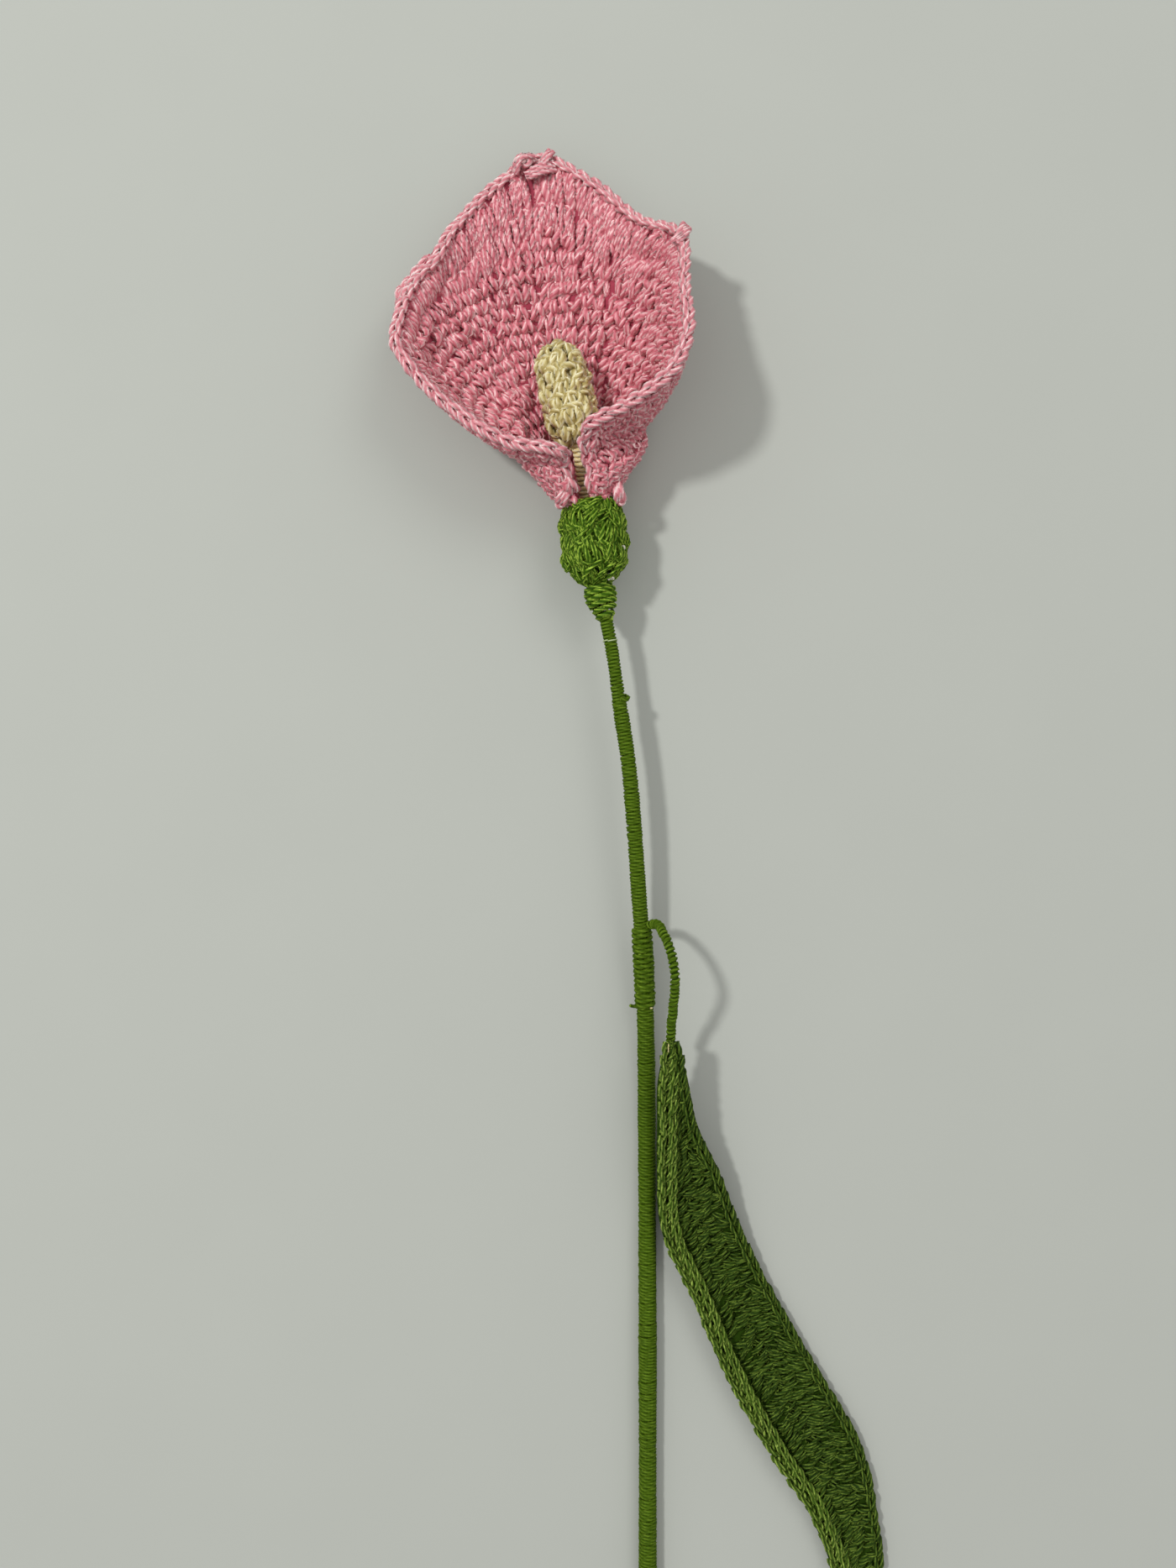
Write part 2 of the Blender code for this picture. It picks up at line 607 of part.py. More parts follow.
def leaf_wire_route(stem, places, middle):
    """Up inside the joint, over in an arch, and down under the leaf."""
    centre, sideways, upward = stem.frames(places.joint + np.array((LEAF_WIRE_IN_JOINT, 6.0)))
    inside = centre + sideways * leaf_wire_offset()
    start = leaf_wire_start(stem, places)
    arch = [start + np.array(step) for step in LEAF_STALK_STEPS]
    spine = middle[:, middle.shape[1] // 2]
    reach = lengths_along(spine)
    drop = LEAF_THICKNESS / 2 + LEAF_RELIEF + YARN_GAP + LEAF_WIRE_RADIUS
    under = [
        np.array([np.interp(place, reach, axis) for axis in spine.T]) - TABLE_UP * drop
        for place in (2.0, LEAF_WIRE_IN_LEAF / 2 + 1.0, LEAF_WIRE_IN_LEAF)
    ]
    points = [inside[0], inside[1], start] + arch + under
    return Route(points, zero_index=2)


def make_leaf_stalk(stem, places, middle, flower):
    """The leaf's thin brass wire, and the yarn wound on the arch that it makes."""
    route = leaf_wire_route(stem, places, middle)
    stations = even_stations(-route.zero, route.end, 2.8)
    radii = np.full(len(stations), LEAF_WIRE_RADIUS)
    sleeve("leaf_wire", route, stations, radii, 0.0, "brass_wire", flower, sides=6)
    arch = [leaf_wire_start(stem, places) + np.array(step) for step in LEAF_STALK_STEPS]
    arch_length = lengths_along(np.array([leaf_wire_start(stem, places)] + arch))[-1]
    wrapped = even_stations(LEAF_STALK_RADIUS * 2.0, arch_length - 0.4, 1.1)
    wrap_radii = LEAF_STALK_RADIUS - 0.12 * (np.arange(len(wrapped)) % 2)
    bore = LEAF_WIRE_RADIUS + YARN_GAP
    sleeve("leaf_stalk_wrap", route, wrapped, wrap_radii, bore, "green_cotton", flower, sides=8)


def make_yarn_knot(stem, places, flower):
    """The small nub where the top wrap ends, on the right of the stem."""
    at_end = np.array((places.middle_wrap,))
    centre, sideways, upward = stem.frames(at_end)
    reach = MIDDLE_WRAP_RADIUS + YARN_GAP + YARN_KNOT_RADIUS
    spot = (centre[0] + sideways[0] * reach) * MM
    bm = bmesh.new()
    bmesh.ops.create_uvsphere(bm, u_segments=10, v_segments=6, radius=YARN_KNOT_RADIUS * MM)
    bmesh.ops.scale(bm, vec=(1.0, 1.3, 1.0), verts=bm.verts)
    bmesh.ops.translate(bm, vec=spot, verts=bm.verts)
    make_object("yarn_knot", bm, "green_cotton", flower)


def make_yarn_end(stem, places, flower):
    """The cut end of yarn that sticks out at the lower end of the leaf's joint."""
    at_end = np.array((places.joint + JOINT_LENGTH - 2.0,))
    centre, sideways, upward = stem.frames(at_end)
    start = centre[0] - sideways[0] * (JOINT_RADIUS + YARN_GAP)
    line = Route((start, start - sideways[0] * YARN_END_LENGTH + np.array((0.0, 0.8, 0.2))))
    stations = even_stations(0.0, line.end, 0.8)
    radii = np.full(len(stations), YARN_END_RADIUS)
    sleeve("yarn_end", line, stations, radii, 0.0, "green_cotton", flower, sides=8)


def centre_on_origin(flower):
    """Move the flower so that its box stands centred over the origin."""
    bpy.context.view_layer.update()
    corners = np.array([
        part.matrix_world @ vertex.co
        for part in flower.children
        for vertex in part.data.vertices
    ])
    low = corners.min(axis=0)
    high = corners.max(axis=0)
    flower.location = (-(low[0] + high[0]) / 2, -(low[1] + high[1]) / 2, -low[2])


def build_flower():
    """Make every sub-part, then set the whole flower on the origin."""
    for old in list(bpy.data.objects):
        bpy.data.objects.remove(old, do_unlink=True)
    flower = bpy.data.objects.new("flower", None)
    bpy.context.collection.objects.link(flower)
    stem = stem_route()
    places = StemPlaces()
    make_stem_wire(stem, places, flower)
    make_stem_wraps(stem, places, flower)
    make_leaf_joint(stem, places, flower)
    make_binding(stem, flower)
    make_cup(stem, flower)
    make_stuffing(stem, flower)
    make_spathe(stem, flower)
    make_spadix(stem, flower)
    make_spadix_stalk(stem, flower)
    middle = leaf_middle(leaf_base(stem, places))
    make_leaf(middle, flower)
    make_leaf_stalk(stem, places, middle, flower)
    make_yarn_knot(stem, places, flower)
    make_yarn_end(stem, places, flower)
    centre_on_origin(flower)


build_flower()
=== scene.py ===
"""The crocheted calla lily in its yarn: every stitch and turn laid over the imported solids.

Shapes are worked out in millimetres from the mouth of the cup on the table, as the part is,
and moved to the frame by the one step between the two.
"""

import json
import math

import bmesh
import bpy
import numpy as np
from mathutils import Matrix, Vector


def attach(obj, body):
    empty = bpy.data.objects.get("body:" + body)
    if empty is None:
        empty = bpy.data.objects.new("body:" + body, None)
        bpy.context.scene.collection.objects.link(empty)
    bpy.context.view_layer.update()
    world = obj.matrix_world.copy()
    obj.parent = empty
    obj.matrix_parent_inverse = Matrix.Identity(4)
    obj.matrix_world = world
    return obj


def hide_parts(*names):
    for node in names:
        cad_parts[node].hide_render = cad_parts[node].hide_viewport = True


MM = 0.001
TABLE_UP = np.array((0.0, 0.0, 1.0))
rng = np.random.default_rng(7)

# Sizes that the part shares, in millimetres and radians
YARN_GAP = 0.25
WIRE_RADIUS = 0.6
LEAF_WIRE_RADIUS = 0.25
NECK_WRAP_RADIUS = 1.35
MIDDLE_WRAP_RADIUS = 1.6
JOINT_RADIUS = 2.2
LOWER_WRAP_RADIUS = 2.0
TOP_WRAP_LENGTH = 16.0
MIDDLE_WRAP_LENGTH = 46.0
JOINT_LENGTH = 17.0
LOWER_WRAP_LENGTH = 158.0
WIRE_PAST_WRAP = 1.5
LEAF_WIRE_ROOM = 1.8
CUP_DROP = 1.3
CUP_LENGTH = 18.5
CUP_RADIUS = 6.9
CUP_MOUTH_RADIUS = 6.4
CUP_WALL = 1.1
CUP_TAIL_RADIUS = 2.0
CUP_TAIL_LENGTH = 6.0
NECK_ROOM = 1.2
CUP_RELIEF = 0.35
BINDING_RADIUS = 3.5
BINDING_LENGTH = 6.6
SPATHE_THICKNESS = 2.0
SLIT_HALF_ANGLE = 0.12
TAIL_DEPTH = 5.0
LIP_RADIUS = 6.9
LIP_REACH = 2.8
LIP_SHIFT = -0.6
THROAT_CENTRE = (-2.9, 13.2, 8.9)
THROAT_HALF_WIDTH = 13.4
THROAT_HALF_LENGTH = 8.6
THROAT_HALF_HEIGHT = 7.85
DISH_REACH = 0.62
DISH_SAG = 0.05
DISH_BULGE = 0.1
SPADIX_START = 11.5
SPADIX_LENGTH = 20.5
SPADIX_RADIUS = 5.0
SPADIX_FLATNESS = 0.82
SPADIX_CAP = 5.0
STALK_WRAP_RADIUS = 1.25
STALK_WRAP_TAIL = 3.0
LEAF_STALK_RADIUS = 1.0
LEAF_THICKNESS = 2.0
LEAF_RELIEF = 0.35
LEAF_CHANNEL = 1.6
LEAF_CHANNEL_SHARE = 0.16
LEAF_SEAT = (0.0, -1.6, 1.2)
LEAF_WIRE_IN_LEAF = 12.0
LEAF_WIRE_IN_JOINT = 13.0

# The spathe's rim, from the left of the slit round the tip to the right of it
RIM_OUTLINE = (
    (-3.7, 6.1, 19.0), (-8.6, 7.3, 22.0), (-16.1, 8.5, 22.0), (-24.4, 13.1, 21.0),
    (-32.9, 20.4, 20.0), (-38.9, 28.7, 19.0), (-38.5, 35.3, 17.0), (-34.8, 46.3, 12.0),
    (-27.4, 57.8, 8.0), (-18.8, 67.1, 6.0), (-10.5, 71.9, 6.0), (-0.3, 67.2, 7.0),
    (10.1, 57.8, 10.0), (18.6, 51.4, 17.0), (19.0, 39.0, 23.0), (19.4, 29.3, 27.0),
    (15.9, 20.8, 28.0), (9.8, 16.0, 27.0), (3.3, 13.1, 25.0), (-0.6, 10.3, 22.0),
    (-1.6, 6.3, 18.0),
)
# The stem's line, from the tip of the spadix, through the cup, to the table
SPADIX_LINE = (
    (-7.4, 34.0, 9.0), (-6.0, 26.5, 10.0), (-4.4, 19.7, 11.0), (-3.0, 13.5, 11.7),
    (-1.8, 8.2, 11.2), (-0.9, 4.0, 10.0),
)
NECK_LINE = (
    (0.0, 0.0, 9.2), (0.9, -8.9, 9.2), (1.6, -16.8, 9.2), (3.2, -24.0, 9.2),
    (4.6, -31.0, 9.1), (6.1, -41.6, 9.0), (8.0, -54.0, 8.9), (9.3, -68.1, 8.6),
    (10.3, -82.0, 7.4), (11.3, -95.0, 5.7), (11.8, -107.3, 4.1), (12.1, -119.0, 2.7),
)
TABLE_LINE = ((12.2, -133.0), (12.3, -154.0), (12.4, -180.0), (12.4, -211.0), (12.4, -226.0))
# The leaf's stalk from the joint, and the leaf's two edges from its base
LEAF_STALK_STEPS = (
    (1.7, 0.9, 2.6), (3.4, -1.2, 7.0), (4.6, -4.4, 9.2), (5.2, -8.4, 10.6),
    (5.1, -14.5, 8.4), (4.8, -21.5, 4.4),
)
LEAF_LEFT_EDGE = (
    (-0.7, 0.0, 0.3), (-2.3, -7.2, -0.7), (-2.5, -17.7, -2.0), (-2.5, -27.7, -3.5),
    (-1.7, -39.7, -6.0), (4.7, -54.6, -8.1), (12.5, -72.7, -9.2), (20.6, -87.2, -9.8),
    (29.9, -101.7, -10.4), (37.0, -118.9, -10.9), (42.0, -130.4, -11.4),
)
LEAF_RIGHT_EDGE = (
    (0.8, 0.0, 0.3), (2.9, -6.2, -1.4), (5.6, -18.3, -4.0), (10.4, -28.6, -6.5),
    (15.1, -40.9, -9.4), (22.4, -55.7, -11.2), (32.9, -73.8, -11.8), (41.1, -88.2, -11.8),
    (44.4, -102.3, -11.6), (45.4, -119.0, -11.6), (43.2, -130.8, -11.6),
)

# How the slit is drawn open over the stalk, in millimetres and radians
SLIT_LEFT_PULL = np.array((-1.5, 0.7, 0.0))
SLIT_RIGHT_PULL = np.array((1.5, 0.5, 0.3))
SLIT_PULL_SHARE = 0.06
SLIT_TURN = 0.42

# Small things on the spathe's rim: rolled ends, a sharp corner, a fold, and ends over the cup
TIP_ROLL = (-13.2, 70.4, 7.4)
TIP_LOBE = ((-15.4, 68.2, 7.2), (-12.0, 72.0, 7.4))
TIP_THREAD = ((-10.2, 68.8, 7.8), (-8.0, 72.9, 7.4))
TIP_UNDERTHREAD = ((-13.2, 67.6, 7.4), (-7.4, 69.8, 7.4))
CORNER_ROLL = (18.6, 50.6, 17.6)
CORNER_TUFT = ((16.8, 48.6, 19.0), (19.4, 52.4, 18.6))
RIM_FOLD = ((-32.8, 49.8, 9.4), (-36.4, 45.0, 10.6), (-38.6, 41.0, 12.4), (-37.6, 37.6, 13.6))
RIM_FOLD_REACH = 4.5
RIM_FOLD_DEPTH = 1.6
CUP_OVERLAPS = (((5.4, 2.4, 13.4), (6.4, -1.2, 12.6)), ((-4.6, 1.6, 14.0), (-5.9, -1.8, 12.8)))
STUFFING_SPOTS = (((4.2, -16.7, 12.4), 0.8), ((6.5, -10.4, 11.8), 0.7))
CUP_HOLES = (((1.7, -5.9, 15.6), 0.8), ((-3.7, -8.0, 14.6), 0.5), ((-0.8, -16.2, 14.6), 0.55))

# The yarns: radii and the lead of the twist in millimetres, the counts of plies and threads,
# and the share of a ply's reach that is left between two plies
PINK_YARN = 0.71
RIM_YARN = 0.7
CREAM_YARN = 0.9
CUP_YARN = 0.52
STEM_YARN = 0.42
BINDING_YARN = 0.68
JOINT_YARN = 0.6
LEAF_YARN = 0.44
STALK_YARN = 0.5
LEAF_STALK_YARN = 0.48
NUB_YARN = 0.5
CUT_END_YARN = 0.42
PALE_THREAD = 0.16
STUFFING_WISP = 0.24
GLINT_WIRE = 0.22
PLY_LEAD = 6.0
PLIES = 3
THREADS = 9
HOLLOW = 0.76
SOFT_HOLLOW = 0.86

# Stitches, rows and grounds, in millimetres and in shares of a stitch or of a row's line
STITCH = 3.2
LONG_PITCH = 0.84 * STITCH
STRAND_SHARE = 0.5
LIFT_SHARE = 0.8
ALONG_SHARE = 0.3
ROW_WAVER = 0.45
SPATHE_LIFT = 0.2
RIM_ROOM = 1.6
OUTER_ROW_GAIN = 3.4
INNER_ROW_LENGTH = 5.6
LONG_ROWS_FROM = 40.0
LONG_ROWS_FADE = 20.0
LONG_ROW_SHARE = 0.25
RIM_PITCH = 3.1
RIM_SPREAD = 0.82
RIM_INSET = 0.6
RIM_PLAIT_START = 50
FUNNEL_ROWS = 7
CUP_ROWS = 5
CUP_PITCH = 3.6
CUP_SLANT = 0.35
SPADIX_ROWS = 7
SPADIX_PITCH = 3.1
GROUND_THICKNESS = 0.5
INNER_GROUND_THICKNESS = 0.3
GROUND_COLUMNS = 106
GROUND_ROUNDS = 36
ROUND_WORK_ROUNDS = 20
LEAF_GROUND_ROWS = 80
LEAF_ROWS = ((0.20, 0.40), (0.36, 0.58), (0.53, 0.75), (0.70, 0.92))
LEAF_BACK_ROWS = ((0.05, 0.52), (0.48, 0.95))
LEAF_PITCH = 2.5
LEAF_SLANT = -1.5
LEAF_SLANT_STEP = 0.3
LEAF_SHOULDER = 1.0
BRAID_PITCH = 3.3
GLINT_OFFSET = (-0.8, 0.5, 1.9)

# The camera and the table: millimetres for the place and the lens, metres for the table
CAMERA_PLACE = (-0.3, -59.1, 280.0)
LENS = 30.0
SENSOR_WIDTH = 36.0
TABLE_HALF_SIDE = 1.2


# Curves and places


def hermite(knots, values, places):
    """Read a smooth line through the values, which lie at the knots, at the places."""
    knots = np.asarray(knots, float)
    values = np.asarray(values, float)
    places = np.asarray(places, float)
    spare = (1,) * (values.ndim - 1)
    steps = np.diff(knots)
    slopes = np.diff(values, axis=0) / steps.reshape(-1, *spare)
    share = (steps[1:] / (steps[1:] + steps[:-1])).reshape(-1, *spare)
    tangents = np.concatenate((
        slopes[:1],
        share * slopes[:-1] + (1 - share) * slopes[1:],
        slopes[-1:],
    ))
    span = np.clip(np.searchsorted(knots, places, side="right") - 1, 0, len(steps) - 1)
    width = steps[span].reshape(-1, *spare)
    t = ((places - knots[span]) / steps[span]).reshape(-1, *spare)
    return (
        (2 * t**3 - 3 * t**2 + 1) * values[span]
        + (t**3 - 2 * t**2 + t) * width * tangents[span]
        + (3 * t**2 - 2 * t**3) * values[span + 1]
        + (t**3 - t**2) * width * tangents[span + 1]
    )


def lengths_along(points):
    """The distance from the first point to each point, along the line they make."""
    steps = np.linalg.norm(np.diff(points, axis=0), axis=1)
    return np.concatenate(((0.0,), np.cumsum(steps)))


def unit(vectors):
    """The same directions, one long."""
    return vectors / np.maximum(np.linalg.norm(vectors, axis=-1, keepdims=True), 1e-9)


def smooth_line(points, count):
    """A smooth line through a few points, read at evenly spread places."""
    points = np.asarray(points, float)
    knots = np.linspace(0.0, 1.0, len(points))
    return hermite(knots, points, np.linspace(0.0, 1.0, count))


def points_at(places, travel, points):
    """Points on a line at these distances along it, where its own points have the travel."""
    return np.stack([np.interp(places, travel, axis) for axis in points.T], axis=-1)


class Route:
    """A smooth line through given points, read by the distance along it."""

    def __init__(self, points, zero_index=0):
        points = np.array(points, float)
        knots = lengths_along(points)
        fine_places = np.linspace(0.0, knots[-1], 40 * len(points))
        self.fine = hermite(knots, points, fine_places)
        self.distances = lengths_along(self.fine)
        self.zero = np.interp(knots[zero_index], fine_places, self.distances)
        self.end = self.distances[-1] - self.zero

    def at(self, distance):
        """Points at these distances, running straight on past either end."""
        place = np.atleast_1d(np.asarray(distance, float)) + self.zero
        inside = np.clip(place, 0.0, self.distances[-1])
        points = points_at(inside, self.distances, self.fine)
        past = np.maximum(place - self.distances[-1], 0.0)[:, None]
        before = np.minimum(place, 0.0)[:, None]
        out = unit(self.fine[-1] - self.fine[-4])
        back = unit(self.fine[3] - self.fine[0])
        return points + past * out + before * back

    def frames(self, distance):
        """Points, and at each one the direction sideways and the direction up."""
        reach = 0.4
        centre = self.at(distance)
        ahead = unit(self.at(np.asarray(distance) + reach) - self.at(np.asarray(distance) - reach))
        sideways = unit(np.cross(TABLE_UP, ahead))
        upward = np.cross(ahead, sideways)
        return centre, sideways, upward

    def around(self, distance, angle, radius):
        """Points round the line, at these distances, angles and radii."""
        centre, sideways, upward = self.frames(distance)
        round_way = np.cos(angle)[:, None] * sideways + np.sin(angle)[:, None] * upward
        return centre + np.broadcast_to(radius, angle.shape)[:, None] * round_way


class Fabric:
    """A curved sheet of crochet, read by columns, by the share along each and by lift."""

    def __init__(self, grid, face=1.0, closed=False):
        self.grid = grid
        around = np.gradient(grid, axis=0)
        if closed:
            around[0] = around[-1] = grid[1] - grid[-2]
        along = np.gradient(grid, axis=1)
        self.faces = face * unit(np.cross(around, along))
        self.closed = closed
        self.columns = np.arange(grid.shape[0], dtype=float)
        steps = np.linalg.norm(np.diff(grid, axis=1), axis=2)
        self.lengths = steps.sum(axis=1)

    def at(self, column, share, lift):
        """Points at these columns and shares along them, lifted off the face."""
        last = self.grid.shape[0] - 1
        if self.closed:
            column = np.mod(column, last)
        column = np.clip(column, 0.0, last - 1e-6)
        place = np.clip(share, 0.0, 1.0 - 1e-6) * (self.grid.shape[1] - 1)
        i = column.astype(int)
        j = place.astype(int)
        a = (column - i)[..., None]
        b = (place - j)[..., None]
        result = []
        for layer in (self.grid, self.faces):
            near = layer[i, j] * (1 - b) + layer[i, j + 1] * b
            far = layer[i + 1, j] * (1 - b) + layer[i + 1, j + 1] * b
            result.append(near * (1 - a) + far * a)
        return result[0] + unit(result[1]) * lift[..., None]

    def line(self, share):
        """The line across all columns at this share of each."""
        share = np.broadcast_to(share, self.columns.shape)
        return self.at(self.columns, share, np.zeros(self.columns.shape))


# Yarn


def lay_yarn(name, strands, radius, finish, hollow=HOLLOW):
    """One piece of yarn strands: smooth lines swept by a section of round plies that twists."""
    section = bpy.data.curves.new(name + "_section", "CURVE")
    section.dimensions = "2D"
    ring = section.splines.new("POLY")
    ring.points.add(2 * PLIES - 1)
    for place, point in enumerate(ring.points):
        angle = math.pi * place / PLIES
        reach = hollow if place % 2 else 1.0
        point.co = (reach * math.cos(angle), reach * math.sin(angle), 0.0, 1.0)
    ring.use_cyclic_u = True
    section_object = bpy.data.objects.new(name + "_section", section)
    curve = bpy.data.curves.new(name + "_line", "CURVE")
    curve.dimensions = "3D"
    curve.bevel_mode = "OBJECT"
    curve.bevel_object = section_object
    curve.use_fill_caps = True
    curve.twist_mode = "MINIMUM"
    for strand, thickness in strands:
        spline = curve.splines.new("POLY")
        spline.points.add(len(strand) - 1)
        reach = radius * thickness * MM
        spots = np.ones((len(strand), 4))
        spots[:, :3] = to_frame(strand)
        spots[:, 2] = np.maximum(spots[:, 2], reach)
        spline.points.foreach_set("co", spots.ravel())
        turn = lengths_along(strand) * math.tau / PLY_LEAD + rng.uniform(0.0, math.tau)
        spline.points.foreach_set("tilt", turn)
        spline.points.foreach_set("radius", np.full(len(strand), reach))
    line_object = bpy.data.objects.new(name + "_line", curve)
    for helper in (section_object, line_object):
        bpy.context.scene.collection.objects.link(helper)
    bpy.context.view_layer.update()
    shown = line_object.evaluated_get(bpy.context.evaluated_depsgraph_get())
    mesh = bpy.data.meshes.new_from_object(shown)
    bpy.data.objects.remove(line_object)
    bpy.data.objects.remove(section_object)
    return finish_piece(name, mesh, finish)


def finish_piece(name, mesh, finish):
    """Name the piece, smooth it and hand it to the frame."""
    mesh.name = name
    mesh.materials.clear()
    mesh.materials.append(finish)
    mesh.polygons.foreach_set("use_smooth", np.ones(len(mesh.polygons), bool))
    piece = bpy.data.objects.new(name, mesh)
    bpy.context.scene.collection.objects.link(piece)
    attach(piece, "root")
    return piece


def sheet_piece(name, grid, thickness, finish):
    """A thin shell laid on a grid of points, joined where its first and last columns meet."""
    columns, rows = grid.shape[:2]
    bm = bmesh.new()
    bmesh.ops.create_grid(bm, x_segments=columns - 1, y_segments=rows - 1, size=1.0)
    for vert, point in zip(bm.verts, to_frame(grid).swapaxes(0, 1).reshape(-1, 3)):
        vert.co = point
    bmesh.ops.remove_doubles(bm, verts=bm.verts[:], dist=0.001 * MM)
    bmesh.ops.recalc_face_normals(bm, faces=bm.faces)
    bmesh.ops.solidify(bm, geom=bm.faces[:], thickness=thickness * MM)
    bmesh.ops.recalc_face_normals(bm, faces=bm.faces)
    mesh = bpy.data.meshes.new(name)
    bm.to_mesh(mesh)
    bm.free()
    return finish_piece(name, mesh, finish)


# Stitches: each strand is (share across, share along, lift in millimetres)

BOBBLE_STITCH = (
    ((0.05, -0.14, -0.40), (-0.24, 0.20, 0.45), (-0.41, 0.60, 0.85), (-0.34, 1.02, 0.05)),
    ((-0.05, -0.14, -0.40), (0.26, 0.22, 0.45), (0.42, 0.62, 0.80), (0.33, 1.04, 0.0)),
    ((-0.56, 0.78, -0.10), (-0.18, 1.00, 0.55), (0.24, 0.98, 0.60), (0.58, 0.76, -0.05)),
    ((0.00, 0.05, -0.30), (-0.04, 0.50, 0.40), (0.03, 0.90, 0.30)),
)
FAN_STITCH = (
    ((0.00, 0.04, -0.8), (-0.30, 0.26, 0.55), (-0.52, 0.64, 0.80), (-0.54, 1.04, 0.25),
     (-0.50, 1.26, -0.4)),
    ((0.00, 0.07, -0.8), (-0.12, 0.34, 0.95), (-0.29, 0.72, 1.20), (-0.33, 1.10, 0.10)),
    ((0.02, 0.07, -0.8), (0.15, 0.34, 0.95), (0.28, 0.72, 1.15), (0.31, 1.10, 0.05)),
    ((0.02, 0.04, -0.8), (0.34, 0.26, 0.55), (0.51, 0.62, 0.80), (0.53, 1.04, 0.25),
     (0.54, 1.26, -0.4)),
    ((-0.42, 0.46, 0.05), (-0.05, 0.62, 0.25), (0.36, 0.50, 0.05)),
    ((-0.80, 0.24, -0.30), (-0.50, 0.08, 0.10), (-0.20, 0.22, -0.30)),
)
LONG_STITCH = (
    ((-0.20, -0.12, -0.45), (-0.38, 0.25, 0.50), (-0.50, 0.65, 0.66), (-0.54, 1.02, 0.0)),
    ((-0.10, -0.14, -0.35), (-0.20, 0.30, 0.75), (-0.30, 0.68, 0.88), (-0.30, 1.06, 0.1)),
    ((-0.02, -0.14, -0.35), (-0.02, 0.30, 0.85), (-0.06, 0.68, 0.95), (-0.06, 1.06, 0.1)),
    ((0.06, -0.14, -0.35), (0.16, 0.30, 0.78), (0.18, 0.68, 0.92), (0.18, 1.06, 0.1)),
    ((0.18, -0.12, -0.45), (0.36, 0.25, 0.55), (0.44, 0.65, 0.70), (0.46, 1.02, 0.0)),
    ((-0.50, 0.80, -0.2), (0.10, 0.98, 0.45), (0.50, 0.78, -0.1)),
)
BACK_STITCH = (
    ((-0.10, 0.05, -0.2), (-0.30, 0.40, 0.70), (-0.25, 1.00, 0.1)),
    ((0.10, 0.05, -0.2), (0.30, 0.40, 0.70), (0.25, 1.00, 0.1)),
    ((-0.55, 0.70, 0.1), (0.00, 0.82, 0.75), (0.55, 0.66, 0.1)),
)
CUP_STITCH = (
    ((-0.34, -0.20, -0.1), (-0.44, 0.24, 0.50), (-0.52, 0.66, 0.56), (-0.54, 1.12, 0.0)),
    ((-0.20, -0.22, 0.0), (-0.26, 0.30, 0.66), (-0.32, 0.70, 0.74), (-0.30, 1.16, 0.1)),
    ((-0.05, -0.22, 0.0), (-0.07, 0.28, 0.74), (-0.10, 0.68, 0.84), (-0.06, 1.16, 0.1)),
    ((0.10, -0.22, 0.0), (0.11, 0.30, 0.68), (0.12, 0.70, 0.76), (0.16, 1.16, 0.1)),
    ((0.26, -0.20, -0.1), (0.30, 0.24, 0.56), (0.34, 0.66, 0.62), (0.38, 1.12, 0.0)),
    ((-0.50, 0.62, 0.0), (-0.12, 0.90, 0.56), (0.30, 0.80, 0.60), (0.56, 0.50, 0.0)),
)
CROSS_STITCH = (
    ((-0.38, -0.06, -0.35), (-0.40, 0.32, 0.36), (-0.36, 0.70, 0.40), (-0.34, 1.06, -0.35)),
    ((-0.12, -0.06, -0.35), (-0.14, 0.32, 0.70), (-0.10, 0.70, 0.66), (-0.06, 1.06, -0.35)),
    ((0.13, -0.06, -0.35), (0.12, 0.32, 0.72), (0.14, 0.70, 0.64), (0.18, 1.06, -0.35)),
    ((0.37, -0.06, -0.35), (0.36, 0.32, 0.36), (0.38, 0.70, 0.40), (0.42, 1.06, -0.35)),
)
BRAID_LINK = (
    (-0.62, 0.80, -0.30), (-0.30, 0.98, 0.40), (0.05, 0.80, 0.70), (0.42, 0.36, 0.55),
    (0.80, 0.02, -0.20),
)


def work_row(fabric, start, end, stitch, pitch, points, lift=0.0, wanted=None, shift=0.0,
             loose=0.1, slant=0.0, sway=0.0):
    """Strands of one row of stitches, between two lines of shares across the fabric.

    A stitch is kept where its column is wanted. It leans by the slant, and by a random part of
    the sway. The shift moves the row along by a part of a stitch.
    """
    start = np.broadcast_to(start, fabric.columns.shape)
    end = np.broadcast_to(end, fabric.columns.shape)
    travel = lengths_along(fabric.line((start + end) / 2))
    count = max(1, round(travel[-1] / pitch))
    width = travel[-1] / count
    strands = []
    for number in range(count):
        seat = (number + 0.5 + shift) * width
        column = np.interp(seat, travel, fabric.columns)
        if wanted is not None and not wanted[int(round(column))]:
            continue
        lean = rng.normal(0.0, loose, 2)
        lean[0] += sway * rng.uniform(-1.0, 1.0)
        swell = rng.normal(0.0, loose)
        for strand in stitch:
            shape = smooth_line(strand, points)
            shape = shape + rng.normal(0.0, STRAND_SHARE * loose, 3) * (1.0, 1.0, LIFT_SHARE)
            across = seat + (shape[:, 0] * (1 + swell) + (slant + lean[0]) * shape[:, 1]) * width
            if fabric.closed:
                across = np.mod(across, travel[-1])
            columns = np.interp(across, travel, fabric.columns)
            first = np.interp(columns, fabric.columns, start)
            last = np.interp(columns, fabric.columns, end)
            share = first + (last - first) * (shape[:, 1] + ALONG_SHARE * lean[1])
            height = lift + shape[:, 2] * (1 + swell)
            thickness = 1 + rng.normal(0.0, STRAND_SHARE * loose)
            strands.append((fabric.at(columns, share, height), thickness))
    return strands


